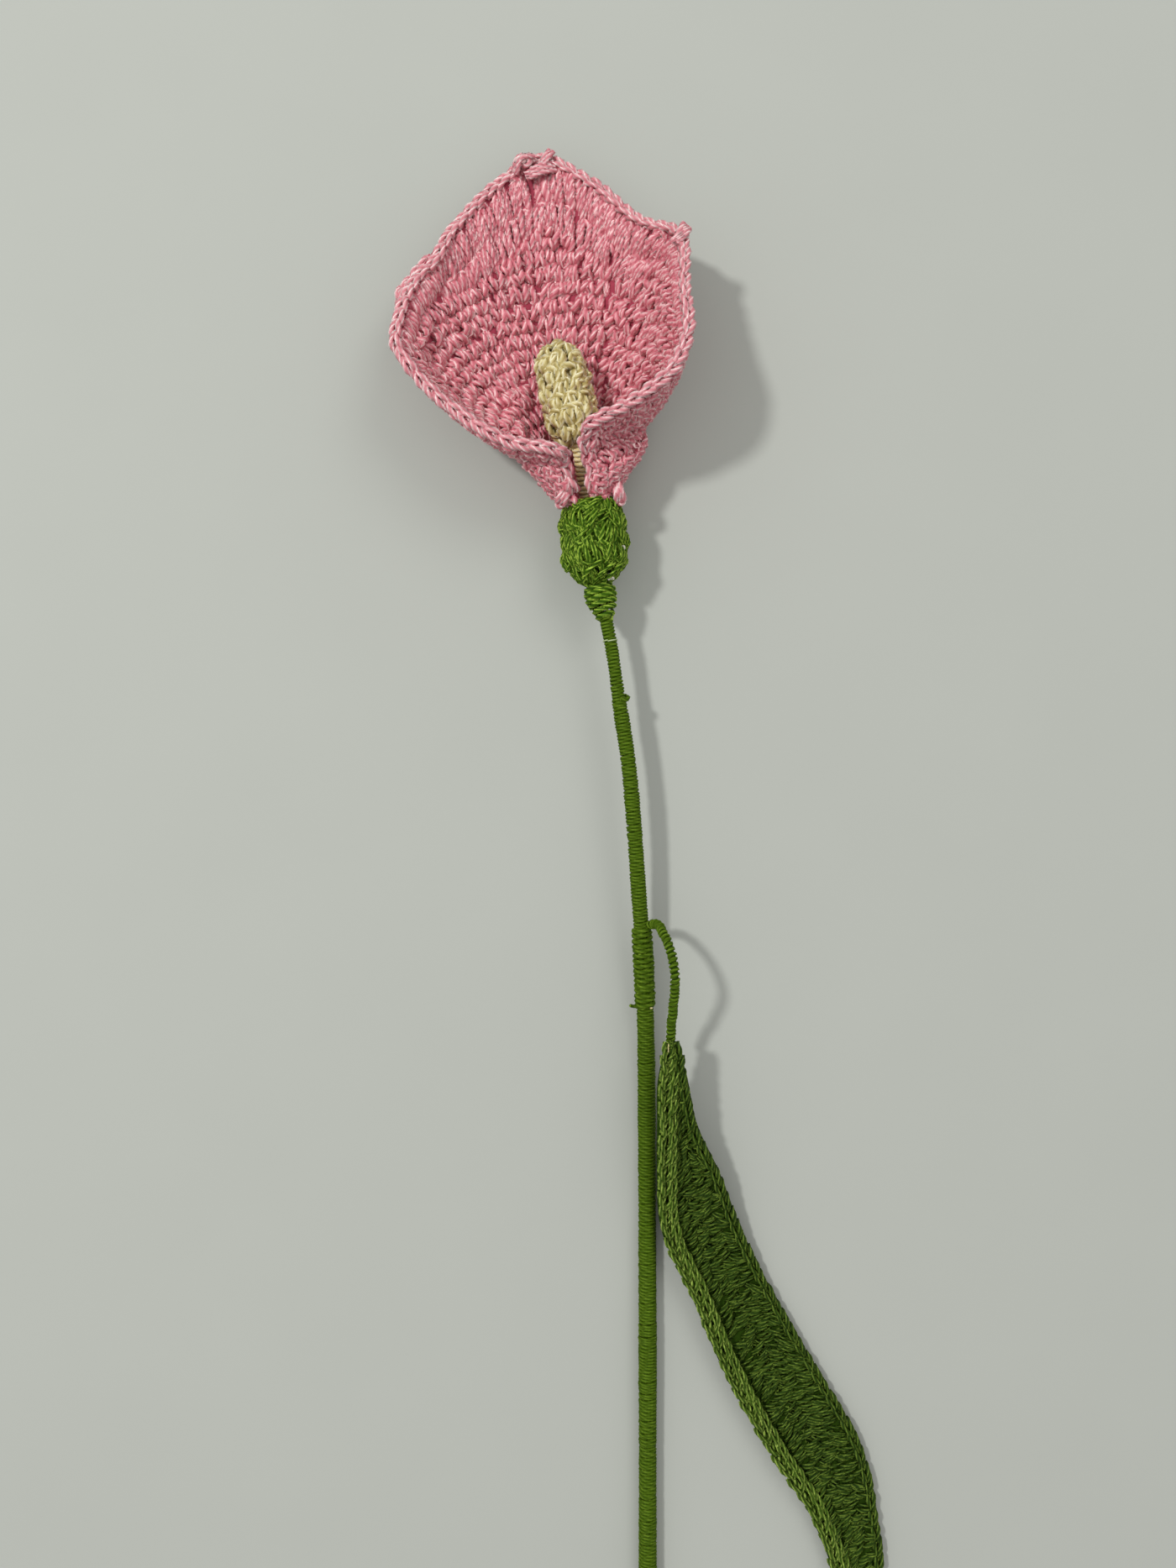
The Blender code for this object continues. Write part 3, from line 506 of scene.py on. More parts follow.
def plait(line, faces, pitch, spread, points, loose=0.07):
    """A braid along a line: the two arms of each link start at its sides and close in the next."""
    travel = lengths_along(line)
    count = max(2, round(travel[-1] / pitch))
    step = travel[-1] / count
    ahead = unit(np.gradient(line, axis=0))
    widths = unit(np.cross(ahead, faces))
    strands = []
    for number in range(count):
        seat = (number + 0.5) * step
        lean = rng.normal(0.0, loose, 3)
        for side in (-1.0, 1.0):
            link = smooth_line(BRAID_LINK, points)
            place = np.clip(seat + (link[:, 0] + lean[0]) * step, 0.0, travel[-1])
            spot, face, width = (points_at(place, travel, layer) for layer in (line, faces, widths))
            out = (side * link[:, 1:2] * (1 + lean[1]) + lean[2]) * spread
            strands.append((spot + width * out + face * link[:, 2:3], 1 + rng.normal(0.0, 0.05)))
    return strands


def wind(route, start, end, radii, yarn, pitch, sides=16, loose=0.05):
    """Turns of yarn wound on the route from start to end, over the radii from one to the other."""
    turns = (end - start) / pitch
    count = int(turns * sides)
    share = np.linspace(0.0, 1.0, count)
    knots = np.linspace(0.0, 1.0, int(turns) + 2)
    waver = np.interp(share, knots, rng.normal(0.0, loose, len(knots)))
    angle = math.tau * turns * share + rng.uniform(0.0, math.tau)
    radii = np.atleast_1d(radii)
    reach = np.interp(share, np.linspace(0.0, 1.0, len(radii)), radii) - yarn + waver * 0.3
    distance = start + (end - start) * share + waver * pitch
    return route.around(distance, angle, reach), 1.0


def spread_indices(length, count):
    """A few places along a list, with its first and its last."""
    return np.linspace(0, length - 1, count).round().astype(int)


# Shapes of the bloom and the leaf


def stem_route():
    """From the tip of the spadix, through the cup, and down the stem along the table."""
    lying = tuple((x, y, LOWER_WRAP_RADIUS) for x, y in TABLE_LINE)
    return Route(SPADIX_LINE + NECK_LINE + lying, zero_index=len(SPADIX_LINE))


class StemPlaces:
    """Where each wrap starts and ends along the stem."""

    def __init__(self):
        self.cup_tail_end = CUP_LENGTH + CUP_TAIL_LENGTH
        self.top_wrap = self.cup_tail_end + YARN_GAP + NECK_ROOM
        self.middle_wrap = self.top_wrap + TOP_WRAP_LENGTH + YARN_GAP
        self.joint = self.middle_wrap + MIDDLE_WRAP_LENGTH + LEAF_WIRE_ROOM
        self.lower_wrap = self.joint + JOINT_LENGTH + YARN_GAP
        self.lower_wrap_end = self.lower_wrap + LOWER_WRAP_LENGTH
        self.wire_end = self.lower_wrap_end + WIRE_PAST_WRAP


def rim_angles(outline):
    """The angle of each rim point round the throat, from the slit and past the left side."""
    offset = outline[:, :2] - np.array(THROAT_CENTRE[:2])
    angles = np.arctan2(-offset[:, 0], -offset[:, 1]) % math.tau
    angles[0] = SLIT_HALF_ANGLE
    angles[-1] = math.tau - SLIT_HALF_ANGLE
    return angles


def funnel_rings(angles):
    """The tail, the mouth and the lip of the funnel, as rings round the stem's line."""
    tail_radius = CUP_MOUTH_RADIUS - CUP_WALL - CUP_RELIEF * 0.4 - YARN_GAP - SPATHE_THICKNESS / 2
    rings = []
    for distance, radius, shift in (
        (TAIL_DEPTH, tail_radius, 0.0),
        (CUP_DROP, tail_radius, 0.0),
        (-0.35 * LIP_REACH, (tail_radius + LIP_RADIUS) / 2, 0.5 * LIP_SHIFT),
        (-LIP_REACH, LIP_RADIUS, LIP_SHIFT),
    ):
        base, sideways, upward = stem.frames(np.array((max(distance, 0.0),)))
        centre = base[0] + np.array((shift, max(-distance, 0.0), 0.0))
        ring = -np.sin(angles)[:, None] * sideways[0] + np.cos(angles)[:, None] * upward[0]
        rings.append(centre + radius * ring)
    return rings


def spathe_meridians(angles):
    """Lines from the tail of the funnel to the rim, and how far the throat is along each."""
    outline = np.array(RIM_OUTLINE)
    rim = hermite(rim_angles(outline), outline, angles)
    centre_x, centre_y, centre_z = THROAT_CENTRE
    throat = np.stack((
        centre_x - THROAT_HALF_WIDTH * np.sin(angles),
        centre_y - THROAT_HALF_LENGTH * np.cos(angles),
        centre_z + THROAT_HALF_HEIGHT * np.cos(angles),
    ), axis=-1)
    rise = rim - throat
    bend = throat + rise * np.array((DISH_REACH, DISH_REACH, DISH_SAG))
    outward = np.stack((-np.sin(angles), -np.cos(angles), np.zeros_like(angles)), axis=-1)
    bend = bend + outward * (DISH_BULGE * np.abs(rise[:, 2:3]))
    share = (angles - SLIT_HALF_ANGLE) / (math.tau - 2 * SLIT_HALF_ANGLE)
    pull = np.clip(1.0 - np.minimum(share, 1.0 - share) / SLIT_PULL_SHARE, 0.0, 1.0)[:, None] ** 2
    pull = pull * np.where(share[:, None] < 0.5, SLIT_LEFT_PULL, SLIT_RIGHT_PULL)
    rim = rim + pull
    throat = throat + pull
    ring_angles = angles + SLIT_TURN * np.clip(1.0 - share / 0.5, 0.0, 1.0)
    lines = funnel_rings(ring_angles) + [throat]
    for t in (0.33, 0.67, 1.0):
        lines.append((1 - t) ** 2 * throat + 2 * t * (1 - t) * bend + t**2 * rim)
    return np.stack(lines, axis=1)


def evenly_along(lines, count, mark):
    """Each line at evenly spaced places, and the share of its length that the mark lies at."""
    result = []
    marks = []
    for line in lines:
        knots = lengths_along(line)
        places = np.linspace(0.0, knots[-1], 160)
        fine = hermite(knots, line, places)
        distance = lengths_along(fine)
        marks.append(np.interp(knots[mark], places, distance) / distance[-1])
        even = np.linspace(0.0, distance[-1], count)
        result.append(points_at(even, distance, fine))
    return np.array(result), np.array(marks)


def spathe_fabric():
    """The spathe's sheet, and the share of each column at which the throat lies."""
    trial = np.linspace(SLIT_HALF_ANGLE, math.tau - SLIT_HALF_ANGLE, 240)
    travel = lengths_along(spathe_meridians(trial)[:, -3])
    angles = np.interp(np.linspace(0.0, travel[-1], 420), travel, trial)
    grid, throat = evenly_along(spathe_meridians(angles), 140, mark=4)
    return Fabric(grid), throat


def leaf_wire_offset():
    """How far the leaf's wire runs beside the stem wire."""
    return WIRE_RADIUS + YARN_GAP + LEAF_WIRE_RADIUS


def leaf_wire_start():
    """The spot inside the joint's upper end where the leaf's wire comes out."""
    centre, sideways, upward = stem.frames(np.array((stem_places.joint,)))
    return centre[0] + sideways[0] * leaf_wire_offset()


def leaf_grid(rows=320, columns=25):
    """The middle of the leaf's thickness, as rows from its base to its tip."""
    base = leaf_wire_start() + np.array(LEAF_STALK_STEPS[-1]) + np.array(LEAF_SEAT)
    left = base + np.array(LEAF_LEFT_EDGE)
    right = base + np.array(LEAF_RIGHT_EDGE)
    knots = lengths_along((left + right) / 2)
    spots = np.linspace(0.0, knots[-1], rows)
    left = hermite(knots, left, spots)[:, None, :]
    right = hermite(knots, right, spots)[:, None, :]
    across = np.linspace(0.0, 1.0, columns)[None, :, None]
    middle = left + (right - left) * across
    width = np.linalg.norm(right - left, axis=2)
    depth = np.minimum(LEAF_CHANNEL, width * LEAF_CHANNEL_SHARE)
    middle[:, :, 2] -= depth * 4 * across[:, :, 0] * (1 - across[:, :, 0])
    middle[:, :, 2] = np.maximum(middle[:, :, 2], LEAF_THICKNESS / 2)
    return middle


def leaf_wire_route(middle):
    """Up inside the joint, over in an arch, and down under the leaf."""
    centre, sideways, upward = stem.frames(stem_places.joint + np.array((LEAF_WIRE_IN_JOINT, 6.0)))
    inside = centre + sideways * leaf_wire_offset()
    start = leaf_wire_start()
    arch = [start + np.array(step) for step in LEAF_STALK_STEPS]
    spine = middle[:, middle.shape[1] // 2]
    reach = lengths_along(spine)
    drop = LEAF_THICKNESS / 2 + LEAF_RELIEF + YARN_GAP + LEAF_WIRE_RADIUS
    under = [
        points_at(place, reach, spine) - TABLE_UP * drop
        for place in (2.0, LEAF_WIRE_IN_LEAF / 2 + 1.0, LEAF_WIRE_IN_LEAF)
    ]
    return Route([inside[0], inside[1], start] + arch + under, zero_index=2)


# Finishes

# The Mix node's sockets for colours, the size of the dye's patches, and the size of the flecks that
# break up the painted highlights
MIX_SHARE = 0
MIX_FIRST = 6
MIX_SECOND = 7
MIX_COLOUR = 2
PATCH_SCALE = 280.0
HIGHLIGHT_FLECK_SCALE = 600.0
GROUND_SCALE = 300.0
PLY_RELIEF = 0.12 * MM


def maths(operation, swapped=False):
    """A method that puts a term and another value, or the two swapped, through one Math node."""
    def method(term, other=0.0):
        first, second = (other, term) if swapped else (term, other)
        node = term.finish.node("ShaderNodeMath", {"operation": operation}, {0: first, 1: second})
        return Term(term.finish, node.outputs[0])
    return method


class Term:
    """A socket whose maths is written as plain Python."""

    __add__ = maths("ADD")
    __radd__ = maths("ADD", swapped=True)
    __sub__ = maths("SUBTRACT")
    __rsub__ = maths("SUBTRACT", swapped=True)
    __mul__ = maths("MULTIPLY")
    __rmul__ = maths("MULTIPLY", swapped=True)
    wave = maths("COSINE")
    power = maths("POWER")

    def __init__(self, finish, socket):
        self.finish = finish
        self.socket = socket


class Finish:
    """One material, with one method that adds any node to it."""

    def __init__(self, name, roughness, metallic=0.0):
        self.material = bpy.data.materials.new(name)
        self.material.use_nodes = True
        self.tree = self.material.node_tree
        self.shader = self.tree.nodes["Principled BSDF"]
        self.shader.inputs["Roughness"].default_value = roughness
        self.shader.inputs["Metallic"].default_value = metallic

    def node(self, kind, settings=None, values=None):
        """A node with its settings set first, then its sockets' values or links."""
        node = self.tree.nodes.new(kind)
        for key, value in (settings or {}).items():
            setattr(node, key, value)
        for key, value in (values or {}).items():
            socket = node.inputs[key]
            if isinstance(value, Term):
                self.tree.links.new(value.socket, socket)
            else:
                socket.default_value = value
        return node

    def term(self, node, output=0):
        """The node's output as something to work with."""
        return Term(self, node.outputs[output])

    def noise(self, scale, detail=2.0):
        """Cloudy values from 0 to 1 over the object's own coordinates."""
        place = self.term(self.node("ShaderNodeTexCoord"), "Object")
        values = {"Vector": place, "Scale": scale, "Detail": detail}
        return self.term(self.node("ShaderNodeTexNoise", None, values), "Fac")

    def blend(self, share, first, second):
        """A colour between two, by a share from 0 to 1."""
        colours = [end if isinstance(end, Term) else (*end, 1.0) for end in (first, second)]
        sockets = {MIX_SHARE: share, MIX_FIRST: colours[0], MIX_SECOND: colours[1]}
        return self.term(self.node("ShaderNodeMix", {"data_type": "RGBA"}, sockets), MIX_COLOUR)

    def feed(self, socket, term):
        """Let the term drive one of the shader's sockets."""
        self.tree.links.new(term.socket, self.shader.inputs[socket])

    def bump(self, height, distance, strength=1.0):
        """Raise the surface by the height, in metres at 1."""
        node = self.node("ShaderNodeBump", None,
                         {"Height": height, "Distance": distance, "Strength": strength})
        self.feed("Normal", self.term(node, "Normal"))


def cotton(name, dark_dye_and_shade, body, highlight, shine, roughness, highlight_strength, end_shade=0.0, groove_shade=0.8):
    """Twisted cotton: painted shade in the grooves between the plies, painted highlights as pale
    streaks on them, and uneven dye.

    One share says how much painted shade darkens the plies' grooves, and another the same for
    the two ends of a strand, where it goes into the fabric.
    """
    finish = Finish(name, roughness)
    finish.shader.inputs["Specular IOR Level"].default_value = shine
    spot = finish.node("ShaderNodeUVMap", {"uv_map": "UVMap"})
    axes = finish.node("ShaderNodeSeparateXYZ", None, {0: finish.term(spot)})
    from_middle = finish.term(axes, 0) * 2.0 - 1.0
    around = finish.term(axes, 1)
    # Painted shade: each strand darkens towards its two ends, where it goes into the fabric.
    ends = (from_middle * from_middle).power(2.0) * end_shade
    ply = (around * (math.tau * PLIES)).wave() * 0.5 + 0.5
    thread = (around * (math.tau * THREADS)).wave() * 0.5 + 0.5
    patch = finish.noise(PATCH_SCALE)
    fleck = finish.noise(HIGHLIGHT_FLECK_SCALE)
    # From the shade colour to the yarn's own colour: painted shade in the plies' grooves and at a
    # strand's ends, and random patches of dye.
    dye_and_shade_tone = finish.blend(ply * groove_shade + patch * 0.7 + (0.6 - groove_shade) - ends, dark_dye_and_shade, body)
    # Painted highlights: pale streaks along the plies' crowns, broken up by flecks.
    highlight_share = ply.power(3.0) * (thread * 0.3 + 0.7) * (fleck * 2.0 - 0.4) * (1.0 - ends) * highlight_strength
    finish.feed("Base Color", finish.blend(highlight_share, dye_and_shade_tone, highlight))
    finish.bump(ply * 0.7 + thread * 0.3, PLY_RELIEF, 0.8)
    return finish.material


def plain_finish(name, colour, spread, scale, roughness, metallic=0.0, grain=0.0, shine=0.5):
    """An even finish with slight clouds in its colour and a fine grain."""
    finish = Finish(name, roughness, metallic)
    finish.shader.inputs["Specular IOR Level"].default_value = shine
    cloud = finish.noise(scale, 4.0)
    darker = tuple(channel * (1 - spread) for channel in colour)
    lighter = tuple(min(1.0, channel * (1 + spread)) for channel in colour)
    finish.feed("Base Color", finish.blend(cloud, darker, lighter))
    if grain:
        finish.bump(finish.noise(scale * 6, 3.0), grain)
    return finish.material


def shade_ground_finish(name, colour, shine=0.1):
    """A dull sheet, darker than its yarn, that paints the shade seen between the stitches."""
    return plain_finish(name, colour, 0.3, GROUND_SCALE, 0.9, grain=0.1 * MM, shine=shine)


# The flower

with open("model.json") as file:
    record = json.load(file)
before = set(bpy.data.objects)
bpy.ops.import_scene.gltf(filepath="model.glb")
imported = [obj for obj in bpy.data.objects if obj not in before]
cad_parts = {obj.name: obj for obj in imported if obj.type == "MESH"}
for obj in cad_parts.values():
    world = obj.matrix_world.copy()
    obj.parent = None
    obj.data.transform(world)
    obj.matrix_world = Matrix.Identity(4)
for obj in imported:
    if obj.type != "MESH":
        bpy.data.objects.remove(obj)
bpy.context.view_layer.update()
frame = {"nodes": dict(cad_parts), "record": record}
stem = stem_route()
stem_places = StemPlaces()
stem_end = next(mount for mount in frame["record"]["mounts"] if mount["name"] == "stem_end")
STEP = np.array(stem_end["pos_m"]) / MM - stem.at(stem_places.wire_end)[0]


def to_frame(points):
    """Millimetres of the part's own drawing, as metres in the frame."""
    return (np.asarray(points) + STEP) * MM


# Each cotton yarn below gets its shade colour, painted into the grooves and the strands' ends, then
# its own colour, then its painted highlight colour.
pink = cotton(
    "pink_cotton_yarn", (0.46, 0.075, 0.11), (0.77, 0.25, 0.29), (1.0, 0.73, 0.71),
    shine=0.4, roughness=0.38, highlight_strength=1.3, end_shade=0.8, groove_shade=0.62,
)
rim_pink = cotton(
    "rim_cotton_yarn", (0.48, 0.12, 0.15), (0.76, 0.31, 0.34), (1.0, 0.84, 0.81),
    shine=0.45, roughness=0.36, highlight_strength=1.4, end_shade=0.4, groove_shade=0.62,
)
cream = cotton(
    "cream_cotton_yarn", (0.33, 0.25, 0.07), (0.7, 0.6, 0.27), (1.0, 0.96, 0.7),
    shine=0.35, roughness=0.42, highlight_strength=1.1, end_shade=0.3,
)
# A lighter copy of the cream yarn for the spadix's stalk: painted light, so that the stalk looks
# bathed in light where it lies in the slit's shade.
brightened_stalk_cream = cotton(
    "brightened_stalk_cotton_yarn", (0.74, 0.58, 0.24), (0.95, 0.84, 0.5), (1.0, 0.96, 0.74),
    shine=0.3, roughness=0.45, highlight_strength=0.8,
)
cup_green = cotton(
    "cup_cotton_yarn", (0.02, 0.055, 0.002), (0.07, 0.16, 0.005), (0.5, 0.7, 0.09),
    shine=0.06, roughness=0.5, highlight_strength=1.3, end_shade=0.4,
)
stem_green = cotton(
    "stem_cotton_yarn", (0.04, 0.08, 0.003), (0.078, 0.145, 0.005), (0.2, 0.3, 0.03),
    shine=0.05, roughness=0.5, highlight_strength=0.9,
)
leaf_green = cotton(
    "leaf_cotton_yarn", (0.01, 0.025, 0.003), (0.045, 0.09, 0.008), (0.24, 0.34, 0.05),
    shine=0.05, roughness=0.5, highlight_strength=1.1, end_shade=0.6,
)
# A lighter copy of the leaf's yarn for the braid on the left edge, which faces the lamp: painted light
# on that side.
lightened_edge_green = cotton(
    "lightened_leaf_edge_yarn", (0.02, 0.045, 0.004), (0.09, 0.165, 0.014), (0.46, 0.6, 0.12),
    shine=0.06, roughness=0.5, highlight_strength=1.2,
)
pale_thread = plain_finish("pale_thread", (0.4, 0.48, 0.24), 0.2, 500.0, 0.6)
# Dark, dull sheets under the stitches: painted shade for the holes between them.
crimson_shade_ground = shade_ground_finish("spathe_shade_ground", (0.34, 0.05, 0.08))
cream_shade_ground = shade_ground_finish("spadix_shade_ground", (0.36, 0.27, 0.1))
green_shade_ground = shade_ground_finish("green_shade_ground", (0.02, 0.045, 0.003), shine=0.05)
stuffing_white = plain_finish("stuffing_fibre", (0.56, 0.55, 0.44), 0.12, 900.0, 0.95, grain=0.2 * MM)
steel = plain_finish("drawn_steel", (0.45, 0.45, 0.44), 0.1, 400.0, 0.35, 1.0, grain=0.02 * MM)
brass = plain_finish("drawn_brass", (1.0, 0.84, 0.42), 0.05, 400.0, 0.3, 1.0)


def crochet_spathe():
    """Both faces of the spathe, its rim plait, and between them the dark ground that paints the shade
    in the holes.
    """
    fabric, throat = spathe_fabric()
    top, under = spathe_rows(fabric, throat)
    half = len(top) // 2
    pieces = [
        lay_yarn("spathe_stitches_" + side, strands, PINK_YARN, pink, SOFT_HOLLOW)
        for side, strands in (("inner", top[:half]), ("outer", top[half:]), ("under", under))
    ]
    pieces.append(lay_yarn("spathe_rim_plait", rim_plait(fabric), RIM_YARN, rim_pink))
    pieces.append(lay_yarn("spathe_rim_curls", rim_curls(), RIM_YARN, rim_pink))
    columns = spread_indices(fabric.grid.shape[0], GROUND_COLUMNS)
    rounds = spread_indices(fabric.grid.shape[1], GROUND_ROUNDS)
    grid = fabric.grid[columns][:, rounds]
    ground = sheet_piece("spathe_shade_ground", grid, GROUND_THICKNESS, crimson_shade_ground)
    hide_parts("spathe")


def spathe_rows(fabric, throat):
    """The strands of every row of the spathe: those of its inner face, and those of its back.

    Short stitches go round the funnel and the dish. Where the dish is long, a row or two of long
    stitches lies between them and the rim.
    """
    back = Fabric(fabric.grid, face=-1.0)
    length = fabric.lengths
    far = np.clip((fabric.grid[:, -1, 1] - LONG_ROWS_FROM) / LONG_ROWS_FADE, 0.0, 1.0)
    edge = 1.0 - RIM_ROOM / length
    outer_start = edge - (STITCH + far * OUTER_ROW_GAIN) / length
    inner_end = outer_start - far * INNER_ROW_LENGTH / length
    rows = np.maximum(np.round((inner_end - throat) * length / STITCH), 1.0)
    top = []
    under = []
    for number in range(FUNNEL_ROWS):
        start = throat * number / FUNNEL_ROWS
        end = throat * (number + 1) / FUNNEL_ROWS
        top += work_row(fabric, start, end, FAN_STITCH, STITCH, 7, SPATHE_LIFT,
                        shift=0.5 * (number % 2), loose=0.2)
        under += work_row(back, start, end, BACK_STITCH, STITCH, 5, SPATHE_LIFT)
    start = throat
    for number in range(int(rows.max())):
        wave = fabric.columns * rng.uniform(0.04, 0.09) + rng.uniform(0.0, math.tau)
        plain_end = throat + ((number + 1) * STITCH + ROW_WAVER * np.sin(wave)) / length
        begin = np.minimum(start, inner_end)
        end = np.minimum(np.where(number == rows - 1, inner_end, plain_end), edge)
        wanted = number < rows
        shift = 0.15 * number
        top += work_row(fabric, begin, end, FAN_STITCH, STITCH, 8, SPATHE_LIFT, wanted, shift, 0.2)
        under += work_row(back, begin, end, BACK_STITCH, STITCH, 5, SPATHE_LIFT, wanted, shift)
        start = plain_end
    long_row = far > LONG_ROW_SHARE
    top += work_row(fabric, inner_end, outer_start, LONG_STITCH, LONG_PITCH, 8, SPATHE_LIFT, long_row,
                    loose=0.2, sway=0.3)
    top += work_row(fabric, outer_start, edge, LONG_STITCH, LONG_PITCH, 8, SPATHE_LIFT, shift=0.5,
                    loose=0.18, sway=0.25)
    under += work_row(back, inner_end, outer_start, BACK_STITCH, STITCH, 6, SPATHE_LIFT, long_row)
    under += work_row(back, outer_start, edge, BACK_STITCH, STITCH, 6, SPATHE_LIFT)
    return top, under


def rim_plait(fabric):
    """The chain along the spathe's edge, up one side of the slit, round, and down the other."""
    first = fabric.grid[0, RIM_PLAIT_START:]
    last = fabric.grid[-1, RIM_PLAIT_START:][::-1]
    line = np.concatenate((first, fabric.grid[1:-1, -1], last))
    travel = lengths_along(line)
    line = hermite(travel[::3], line[::3], np.linspace(0.0, travel[-1], 900))
    outward = unit(line - np.array(THROAT_CENTRE))
    faces = unit(0.55 * outward + TABLE_UP)
    fold = np.exp(-np.sum((line - RIM_FOLD[0]) ** 2, axis=1) / RIM_FOLD_REACH**2)[:, None]
    line = line - fold * RIM_FOLD_DEPTH * outward + 0.5 * fold * RIM_FOLD_DEPTH * TABLE_UP
    line = line - RIM_INSET * outward
    core = (line - 0.1 * faces)[::3], 1.15
    return plait(line + 0.15 * faces, faces, RIM_PITCH, RIM_SPREAD, 9) + [core]


def curl(centre, radius, turns, rise):
    """A small roll of yarn at a loose end."""
    angles = np.linspace(0.0, math.tau * turns, 26)
    reach = radius * np.linspace(1.0, 0.45, 26)
    climb = rise * angles / angles[-1]
    roll = np.stack((reach * np.cos(angles), reach * np.sin(angles), climb), axis=-1)
    return np.array(centre) + roll, 1.0


def tuft(start, end, bulge, count, spread):
    """A few strands side by side from one spot to another, arched over the bulge."""
    start, end, bulge = (np.array(spot, float) for spot in (start, end, bulge))
    side = unit(np.cross(end - start, bulge))
    strands = []
    for place in np.linspace(-spread, spread, count):
        middle = (start + end) / 2 + bulge + side * place
        line = (start + 0.7 * side * place, middle, end + 1.1 * side * place)
        strands.append((smooth_line(line, 8), 1 + rng.normal(0.0, 0.06)))
    return strands


def rim_curls():
    """The rolled end at the tip, the sharp corner, the fold and the pink ends over the cup."""
    strands = [curl(TIP_ROLL, 1.1, 1.6, 1.2)]
    strands += tuft(*TIP_LOBE, (-0.9, 0.9, 1.0), 4, 1.1)
    strands += tuft(*TIP_THREAD, (0.0, 0.2, 0.6), 2, 0.4)
    strands += tuft(*TIP_UNDERTHREAD, (0.0, 0.0, 1.0), 3, 0.8)
    strands += [curl(CORNER_ROLL, 0.9, 1.4, 1.6)]
    strands += tuft(*CORNER_TUFT, (0.5, 0.3, 0.9), 4, 0.7)
    fold = smooth_line(RIM_FOLD, 40)
    fold_faces = unit(np.array((-0.4, 0.1, 1.0)) * np.ones_like(fold))
    strands += plait(fold, fold_faces, RIM_PITCH, 0.7, 9)
    for start, end in CUP_OVERLAPS:
        strands += tuft(start, end, (0.0, -0.2, 0.9), 3, 0.7)
        strands += [curl(end, 0.7, 1.2, -0.8)]
    return strands


def round_grid(route, stations, radii, flatness=1.0, columns=96):
    """Points round a route at each station, the last column over the first."""
    angles = np.linspace(0.0, math.tau, columns + 1)
    centre, sideways, upward = route.frames(stations)
    return (
        centre[None]
        + (radii[None, :] * np.cos(angles)[:, None])[..., None] * sideways[None]
        + (radii[None, :] * np.sin(angles)[:, None] * flatness)[..., None] * upward[None]
    )


def round_ground(name, grid, finish):
    """The dark ground under round work, painted shade for its holes, on every fourth column of its
    grid.
    """
    rounds = grid[::4, spread_indices(grid.shape[1], ROUND_WORK_ROUNDS)]
    sheet_piece(name, rounds, INNER_GROUND_THICKNESS, finish)


def crochet_spadix():
    """The cream spadix: rows of chunky loops over a dark ground painting the holes' shade, and its
    wound stalk.
    """
    from_base = np.linspace(0.0, SPADIX_LENGTH, 60)
    nearest = np.minimum(np.minimum(from_base, SPADIX_LENGTH - from_base) / SPADIX_CAP, 1.0)
    radii = SPADIX_RADIUS * np.sqrt(1.0 - (1.0 - nearest) ** 2 * 0.9) - CREAM_YARN
    grid = round_grid(stem, -SPADIX_START - from_base, radii, SPADIX_FLATNESS)
    fabric = Fabric(grid, face=-1.0, closed=True)
    strands = []
    for number in range(SPADIX_ROWS):
        start, end = number / SPADIX_ROWS, (number + 1) / SPADIX_ROWS
        strands += work_row(fabric, start, end, BOBBLE_STITCH, SPADIX_PITCH, 8, lift=0.2,
                            shift=0.5 * (number % 2), loose=0.2)
    loops = lay_yarn("spadix_loops", strands, CREAM_YARN, cream)
    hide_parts("spadix")
    round_ground("spadix_shade_ground", grid, cream_shade_ground)
    stalk_end = -SPADIX_START - 1.0
    radii = STALK_WRAP_RADIUS + np.array((0.9, 0.9, 0.7, 0.4, 0.35))
    turns = wind(stem, STALK_WRAP_TAIL, stalk_end, radii, STALK_YARN, -0.95)
    core = stem.at(np.linspace(STALK_WRAP_TAIL, stalk_end, 16)), STALK_WRAP_RADIUS / STALK_YARN
    # The stalk's turns take the lighter copy of the cream yarn: painted light in the slit's shade.
    wound = lay_yarn("spadix_stalk_yarn", [turns, core], STALK_YARN, brightened_stalk_cream)
    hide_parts("spadix_stalk_wrap")


def clear_of(points, holes):
    """Whether a strand passes none of the holes by less than their radius."""
    return all(np.linalg.norm(points - centre, axis=1).min() > radius for centre, radius in holes)


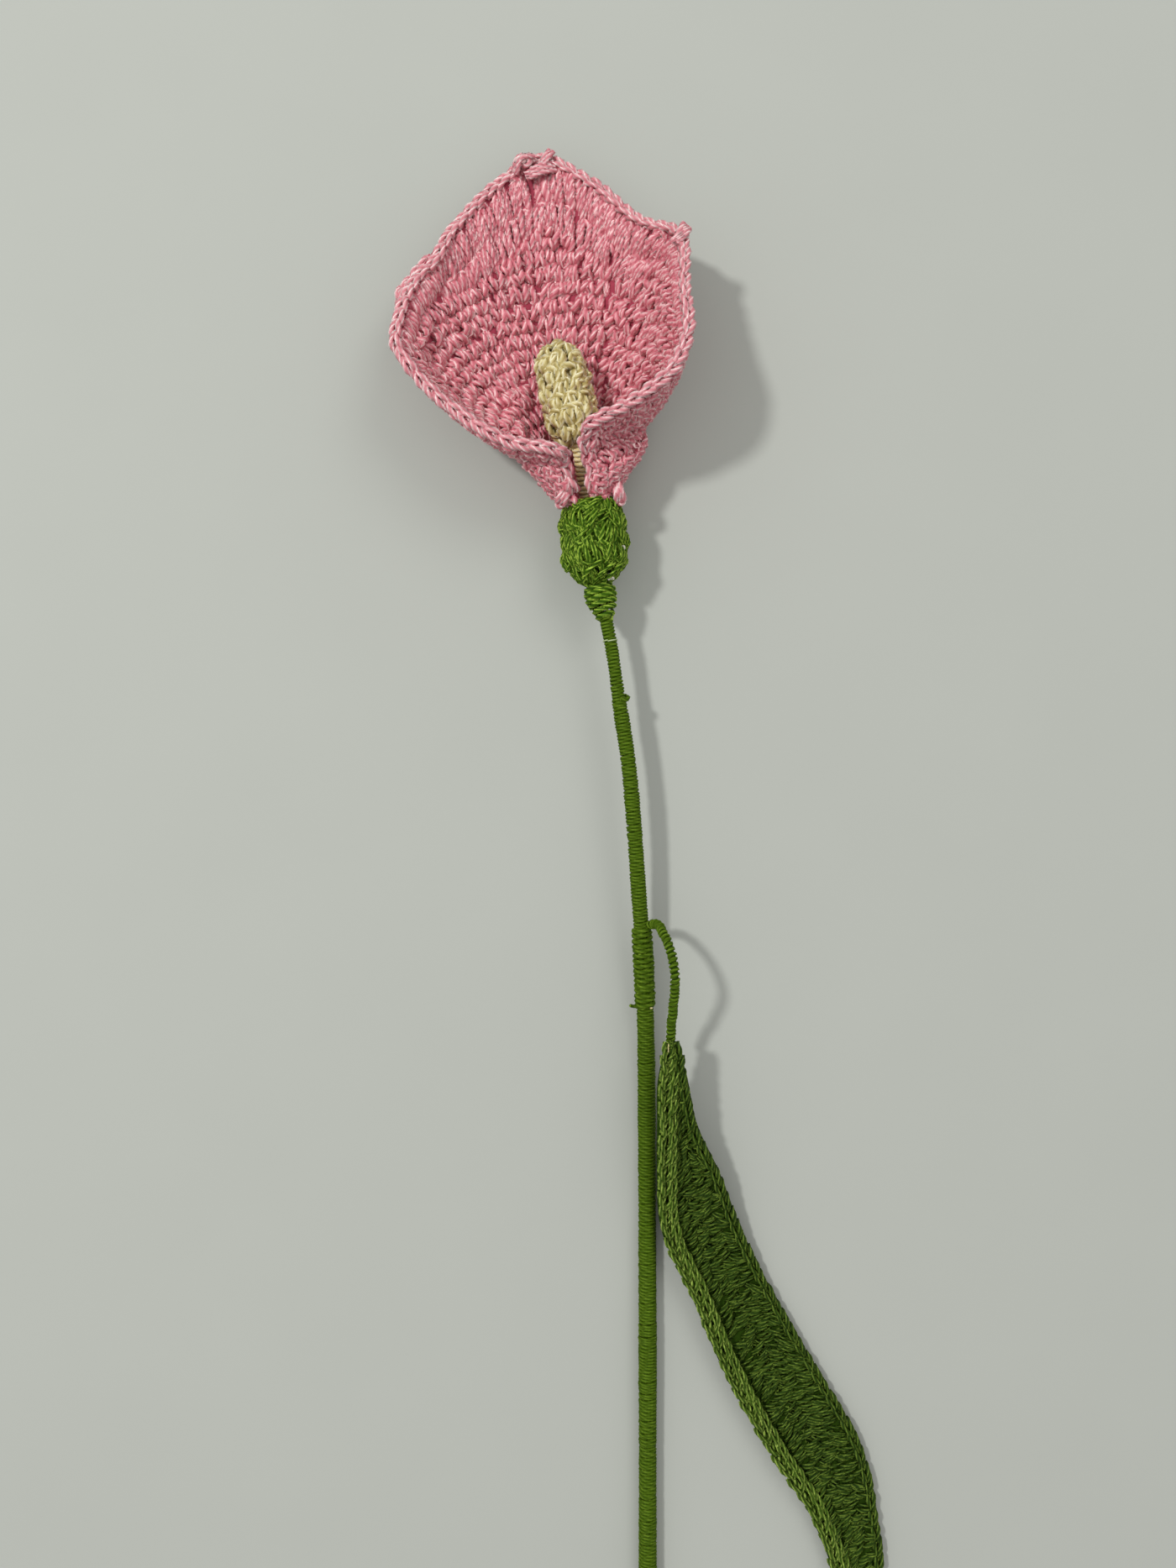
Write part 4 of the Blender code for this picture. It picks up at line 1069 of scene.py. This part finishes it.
def crochet_cup():
    """The green cup in two crossing layers of chunky stitches, open at a few holes."""
    body_end = CUP_LENGTH - 0.9
    stations = np.linspace(CUP_DROP - 0.8, body_end, 60)
    shape_places = (0.0, 0.12, 0.5, 0.75, 0.9, 1.0)
    shape_radii = (CUP_MOUTH_RADIUS - 0.6, 0.95 * CUP_RADIUS, CUP_RADIUS, 0.93 * CUP_RADIUS,
                   0.66 * CUP_RADIUS, CUP_TAIL_RADIUS + 0.3)
    share = np.clip((stations - CUP_DROP) / (body_end - CUP_DROP), 0.0, 1.0)
    grid = round_grid(stem, stations, hermite(shape_places, shape_radii, share) - 1.3)
    fabric = Fabric(grid, face=1.0, closed=True)
    strands = []
    for number in range(CUP_ROWS):
        start, end = number / CUP_ROWS, (number + 1) / CUP_ROWS
        slant = CUP_SLANT * (-1) ** number
        for lift, turn in ((-0.3, -1.0), (0.25, 1.0)):
            strands += work_row(fabric, start, end, CUP_STITCH, CUP_PITCH, 8, lift, loose=0.2,
                                shift=0.25 * turn + 0.5 * number, slant=slant * turn, sway=0.8)
    strands = [strand for strand in strands if clear_of(strand[0], CUP_HOLES)]
    loops = lay_yarn("calyx_cup_loops", strands, CUP_YARN, cup_green)
    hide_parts("calyx_cup")
    fluff_wisps()
    # The dark ground paints the shade seen through the cup's holes.
    round_ground("calyx_cup_shade_ground", grid, green_shade_ground)


def fluff_wisps():
    """Wisps of the pale filling, where it shows between the cup's stitches."""
    wisps = []
    for spot, reach in STUFFING_SPOTS:
        for _ in range(5):
            wisp = np.array(spot) + rng.normal(0.0, 0.45 * reach, (4, 3)) * (1.0, 1.0, 0.4)
            wisps.append((smooth_line(wisp, 10), 1.0))
    lay_yarn("stuffing_wisps", wisps, STUFFING_WISP, stuffing_white, hollow=0.9)


def wind_stem():
    """Every wound stretch of the stem, from the neck's thick turns to the stem's end."""
    neck_start = CUP_LENGTH - 0.6
    neck_end = CUP_LENGTH + BINDING_LENGTH
    bulge = np.array((0.85, 1.0, 1.03, 0.98, 0.85, 0.66, 0.6)) * BINDING_RADIUS
    layers = [
        wind(stem, neck_start, neck_end, bulge - drop, BINDING_YARN, pitch, sides=24, loose=0.14)
        for drop, pitch in ((0.0, 1.2), (0.35, 1.3))
    ]
    binding = lay_yarn("neck_binding_yarn", layers, BINDING_YARN, cup_green)
    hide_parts("neck_binding")
    top_end = stem_places.top_wrap + TOP_WRAP_LENGTH
    middle_end = stem_places.joint
    joint_end = middle_end + JOINT_LENGTH
    unevenness = np.array((0.94, 1.0, 1.0, 0.97, 1.0, 1.03, 1.0, 0.98, 1.0, 1.02, 0.99, 1.0))
    for name, start, end, radius, pitch, yarn in (
        ("stem_wrap_top", neck_end - 0.8, top_end + 0.3, NECK_WRAP_RADIUS + 0.1, 0.7, STEM_YARN),
        ("stem_wrap_middle", top_end, middle_end + 0.3, MIDDLE_WRAP_RADIUS + 0.1, 0.66, STEM_YARN),
        ("leaf_joint_binding", middle_end, joint_end + 0.3, JOINT_RADIUS + 0.15, 1.08, JOINT_YARN),
        ("stem_wrap_lower", joint_end, stem_places.lower_wrap_end, LOWER_WRAP_RADIUS, 0.64, STEM_YARN),
    ):
        turns = wind(stem, start, end, radius * unevenness, yarn, pitch, loose=0.12)
        core = stem.at(np.linspace(start, end, max(8, int(end - start)))), (radius - 0.4) / yarn
        wound = lay_yarn(name + "_yarn", [turns, core], yarn, stem_green, SOFT_HOLLOW)
        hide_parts(name)
    tie_ends(top_end, joint_end)


def tie_ends(top_end, joint_end):
    """The nub where the stem's yarns meet, the pale thread above it, and the cut end below."""
    angles = np.linspace(-1.5, 1.4, 22)
    swell = MIDDLE_WRAP_RADIUS + 0.1 + 0.3 * np.exp(-(angles / 0.4) ** 2)
    nub = stem.around(top_end + 0.5 * np.sin(2 * angles), angles, swell)
    knot = lay_yarn("stem_yarn_knot", [(nub, 1.0)], NUB_YARN, stem_green)
    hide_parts("yarn_knot")
    thread = stem_places.top_wrap + 3.7
    band = wind(stem, thread, thread + 0.25, NECK_WRAP_RADIUS + 0.3, PALE_THREAD, pitch=0.25)
    lay_yarn("pale_thread_turn", [band], PALE_THREAD, pale_thread)
    centre, sideways, upward = stem.frames(np.array((joint_end + 0.8,)))
    reach = np.linspace(JOINT_RADIUS - 0.8, JOINT_RADIUS + 1.0, 7)[:, None]
    stub = centre - sideways * reach + upward * (0.3 * np.sin(reach * 2.0)) + (0.0, 0.3, 0.0) * reach
    end = lay_yarn("stem_yarn_end", [(stub, 1.0)], CUT_END_YARN, stem_green)
    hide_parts("yarn_end")


def crochet_leaf():
    """The leaf: slanting strands across it, a braid on each edge, and a dark ground painting the shade
    between them.
    """
    middle = leaf_grid()
    fabric = Fabric(middle, face=1.0)
    back = Fabric(middle, face=-1.0)
    across = []
    for number, (start, end) in enumerate(LEAF_ROWS):
        across += work_row(fabric, start, end, CROSS_STITCH, LEAF_PITCH, 7, lift=0.2,
                           shift=0.35 * number, loose=0.22,
                           slant=LEAF_SLANT + LEAF_SLANT_STEP * number, sway=0.6)
    for start, end in LEAF_BACK_ROWS:
        across += work_row(back, start, end, CROSS_STITCH, BRAID_PITCH, 6, lift=0.1)
    strands = lay_yarn("leaf_cross_strands", across, LEAF_YARN, leaf_green)
    edge, far_edge = braid_leaf(fabric)
    rows = spread_indices(middle.shape[0], LEAF_GROUND_ROWS)
    grid = middle[rows][:, ::3]
    ground = sheet_piece("leaf_shade_ground", grid, GROUND_THICKNESS, green_shade_ground)
    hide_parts("leaf")
    return middle


def braid_leaf(fabric):
    """The braids on the leaf's left edge and beside it, and the braid on its right edge."""
    left = fabric.grid[:, 0]
    right = fabric.grid[:, -1]
    width = np.linalg.norm(right - left, axis=1)
    left_face = unit(fabric.faces[:, 1] + 0.35 * TABLE_UP)
    right_face = unit(fabric.faces[:, -2] + 0.35 * TABLE_UP)
    rightward = (right - left) / np.maximum(width, 4.0)[:, None]
    base_swell = np.exp(-((lengths_along(left) - 2.2) / 2.8) ** 2)[:, None]
    shoulder = LEAF_SHOULDER * base_swell * rightward
    left_line = left + 1.1 * rightward + 0.35 * left_face - shoulder
    inner_line = left + 2.8 * rightward + 0.3 * left_face
    right_line = right - 0.8 * rightward + 0.2 * right_face + shoulder
    near = plait(left_line, left_face, BRAID_PITCH, 1.2, 9)
    near += plait(inner_line[12:], left_face[12:], 3.5, 0.6, 8)
    near.append(((left_line - 0.25 * left_face)[::4], 1.4))
    # The near braid takes the lighter copy of the leaf's yarn, painted light; the far braid keeps the
    # leaf's own yarn.
    edge = lay_yarn("leaf_edge_braid", near, LEAF_YARN * 1.2, lightened_edge_green)
    far = plait(right_line, right_face, BRAID_PITCH, 0.75, 9)
    far.append(((right_line - 0.2 * right_face)[::4], 1.2))
    return edge, lay_yarn("leaf_far_braid", far, LEAF_YARN * 1.15, leaf_green)


def wind_leaf_stalk(middle):
    """The yarn wound on the arch of the leaf's wire, over a dark core that paints the shade between
    its turns, and the brass that glints at its two ends.
    """
    route = leaf_wire_route(middle)
    start = leaf_wire_start()
    arch = np.array([start] + [start + np.array(step) for step in LEAF_STALK_STEPS])
    end = lengths_along(arch)[-1] + 2.2
    turns = wind(route, 0.2, end, LEAF_STALK_RADIUS + 0.12, LEAF_STALK_YARN, 1.05, sides=12)
    wound = lay_yarn("leaf_stalk_yarn", [turns], LEAF_STALK_YARN, stem_green)
    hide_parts("leaf_stalk_wrap")
    # A dark core under the turns: painted shade in the grooves between them.
    core = route.at(np.linspace(0.0, end, 24)), 1.0
    lay_yarn("leaf_stalk_shade_core", [core], LEAF_STALK_RADIUS - 0.3, green_shade_ground, hollow=1.0)
    glint = middle[1:6:2, middle.shape[1] // 2] + np.array(GLINT_OFFSET)
    fleck_places = np.full(3, stem_places.lower_wrap - 0.4)
    fleck = stem.around(fleck_places, np.array((1.0, 1.1, 1.2)), JOINT_RADIUS + 0.3)
    lay_yarn("leaf_wire_glint", [(glint, 0.7), (fleck, 1.0)], GLINT_WIRE, brass, hollow=1.0)


crochet_spathe()
crochet_spadix()
crochet_cup()
wind_stem()
wind_leaf_stalk(crochet_leaf())
for node, finish in (
    ("stem_wire", steel), ("leaf_wire", brass), ("calyx_stuffing", stuffing_white),
):
    for slot in frame["nodes"][node].material_slots:
        slot.material = finish


# The table, the light and the camera


def lay_table():
    """The pale table that the flower lies on."""
    bm = bmesh.new()
    bmesh.ops.create_grid(bm, x_segments=1, y_segments=1, size=TABLE_HALF_SIDE)
    mesh = bpy.data.meshes.new("table")
    bm.to_mesh(mesh)
    bm.free()
    mesh.materials.append(plain_finish("table_paper", (0.41, 0.425, 0.385), 0.02, 30.0, 0.8))
    table = bpy.data.objects.new("table", mesh)
    bpy.context.scene.collection.objects.link(table)


def add_lamp(name, place, size, power):
    """A round soft lamp that faces the flower."""
    light = bpy.data.lights.new(name, "AREA")
    light.shape = "DISK"
    light.size = size
    light.energy = power
    lamp = bpy.data.objects.new(name, light)
    bpy.context.scene.collection.objects.link(lamp)
    lamp.location = place
    lamp.rotation_euler = (-Vector(place)).to_track_quat("-Z", "Y").to_euler()


def light_room(strength):
    """Even white light from all round."""
    world = bpy.data.worlds.new("room")
    world.use_nodes = True
    background = world.node_tree.nodes["Background"]
    background.inputs["Color"].default_value = (1.0, 1.0, 1.0, 1.0)
    background.inputs["Strength"].default_value = strength
    bpy.context.scene.world = world


def set_camera():
    """A camera straight above the flower, looking down."""
    data = bpy.data.cameras.new("camera")
    data.lens = LENS
    data.sensor_width = SENSOR_WIDTH
    data.clip_start = 0.01
    camera = bpy.data.objects.new("camera", data)
    camera.location = to_frame(CAMERA_PLACE)
    bpy.context.scene.collection.objects.link(camera)
    bpy.context.scene.camera = camera


lay_table()
add_lamp("left_lamp", (-0.72, 0.40, 1.1), size=0.14, power=9.5)
add_lamp("right_lamp", (0.55, 0.75, 1.0), size=0.7, power=3.5)
light_room(strength=0.62)
set_camera()
bpy.context.scene.view_settings.view_transform = "Standard"
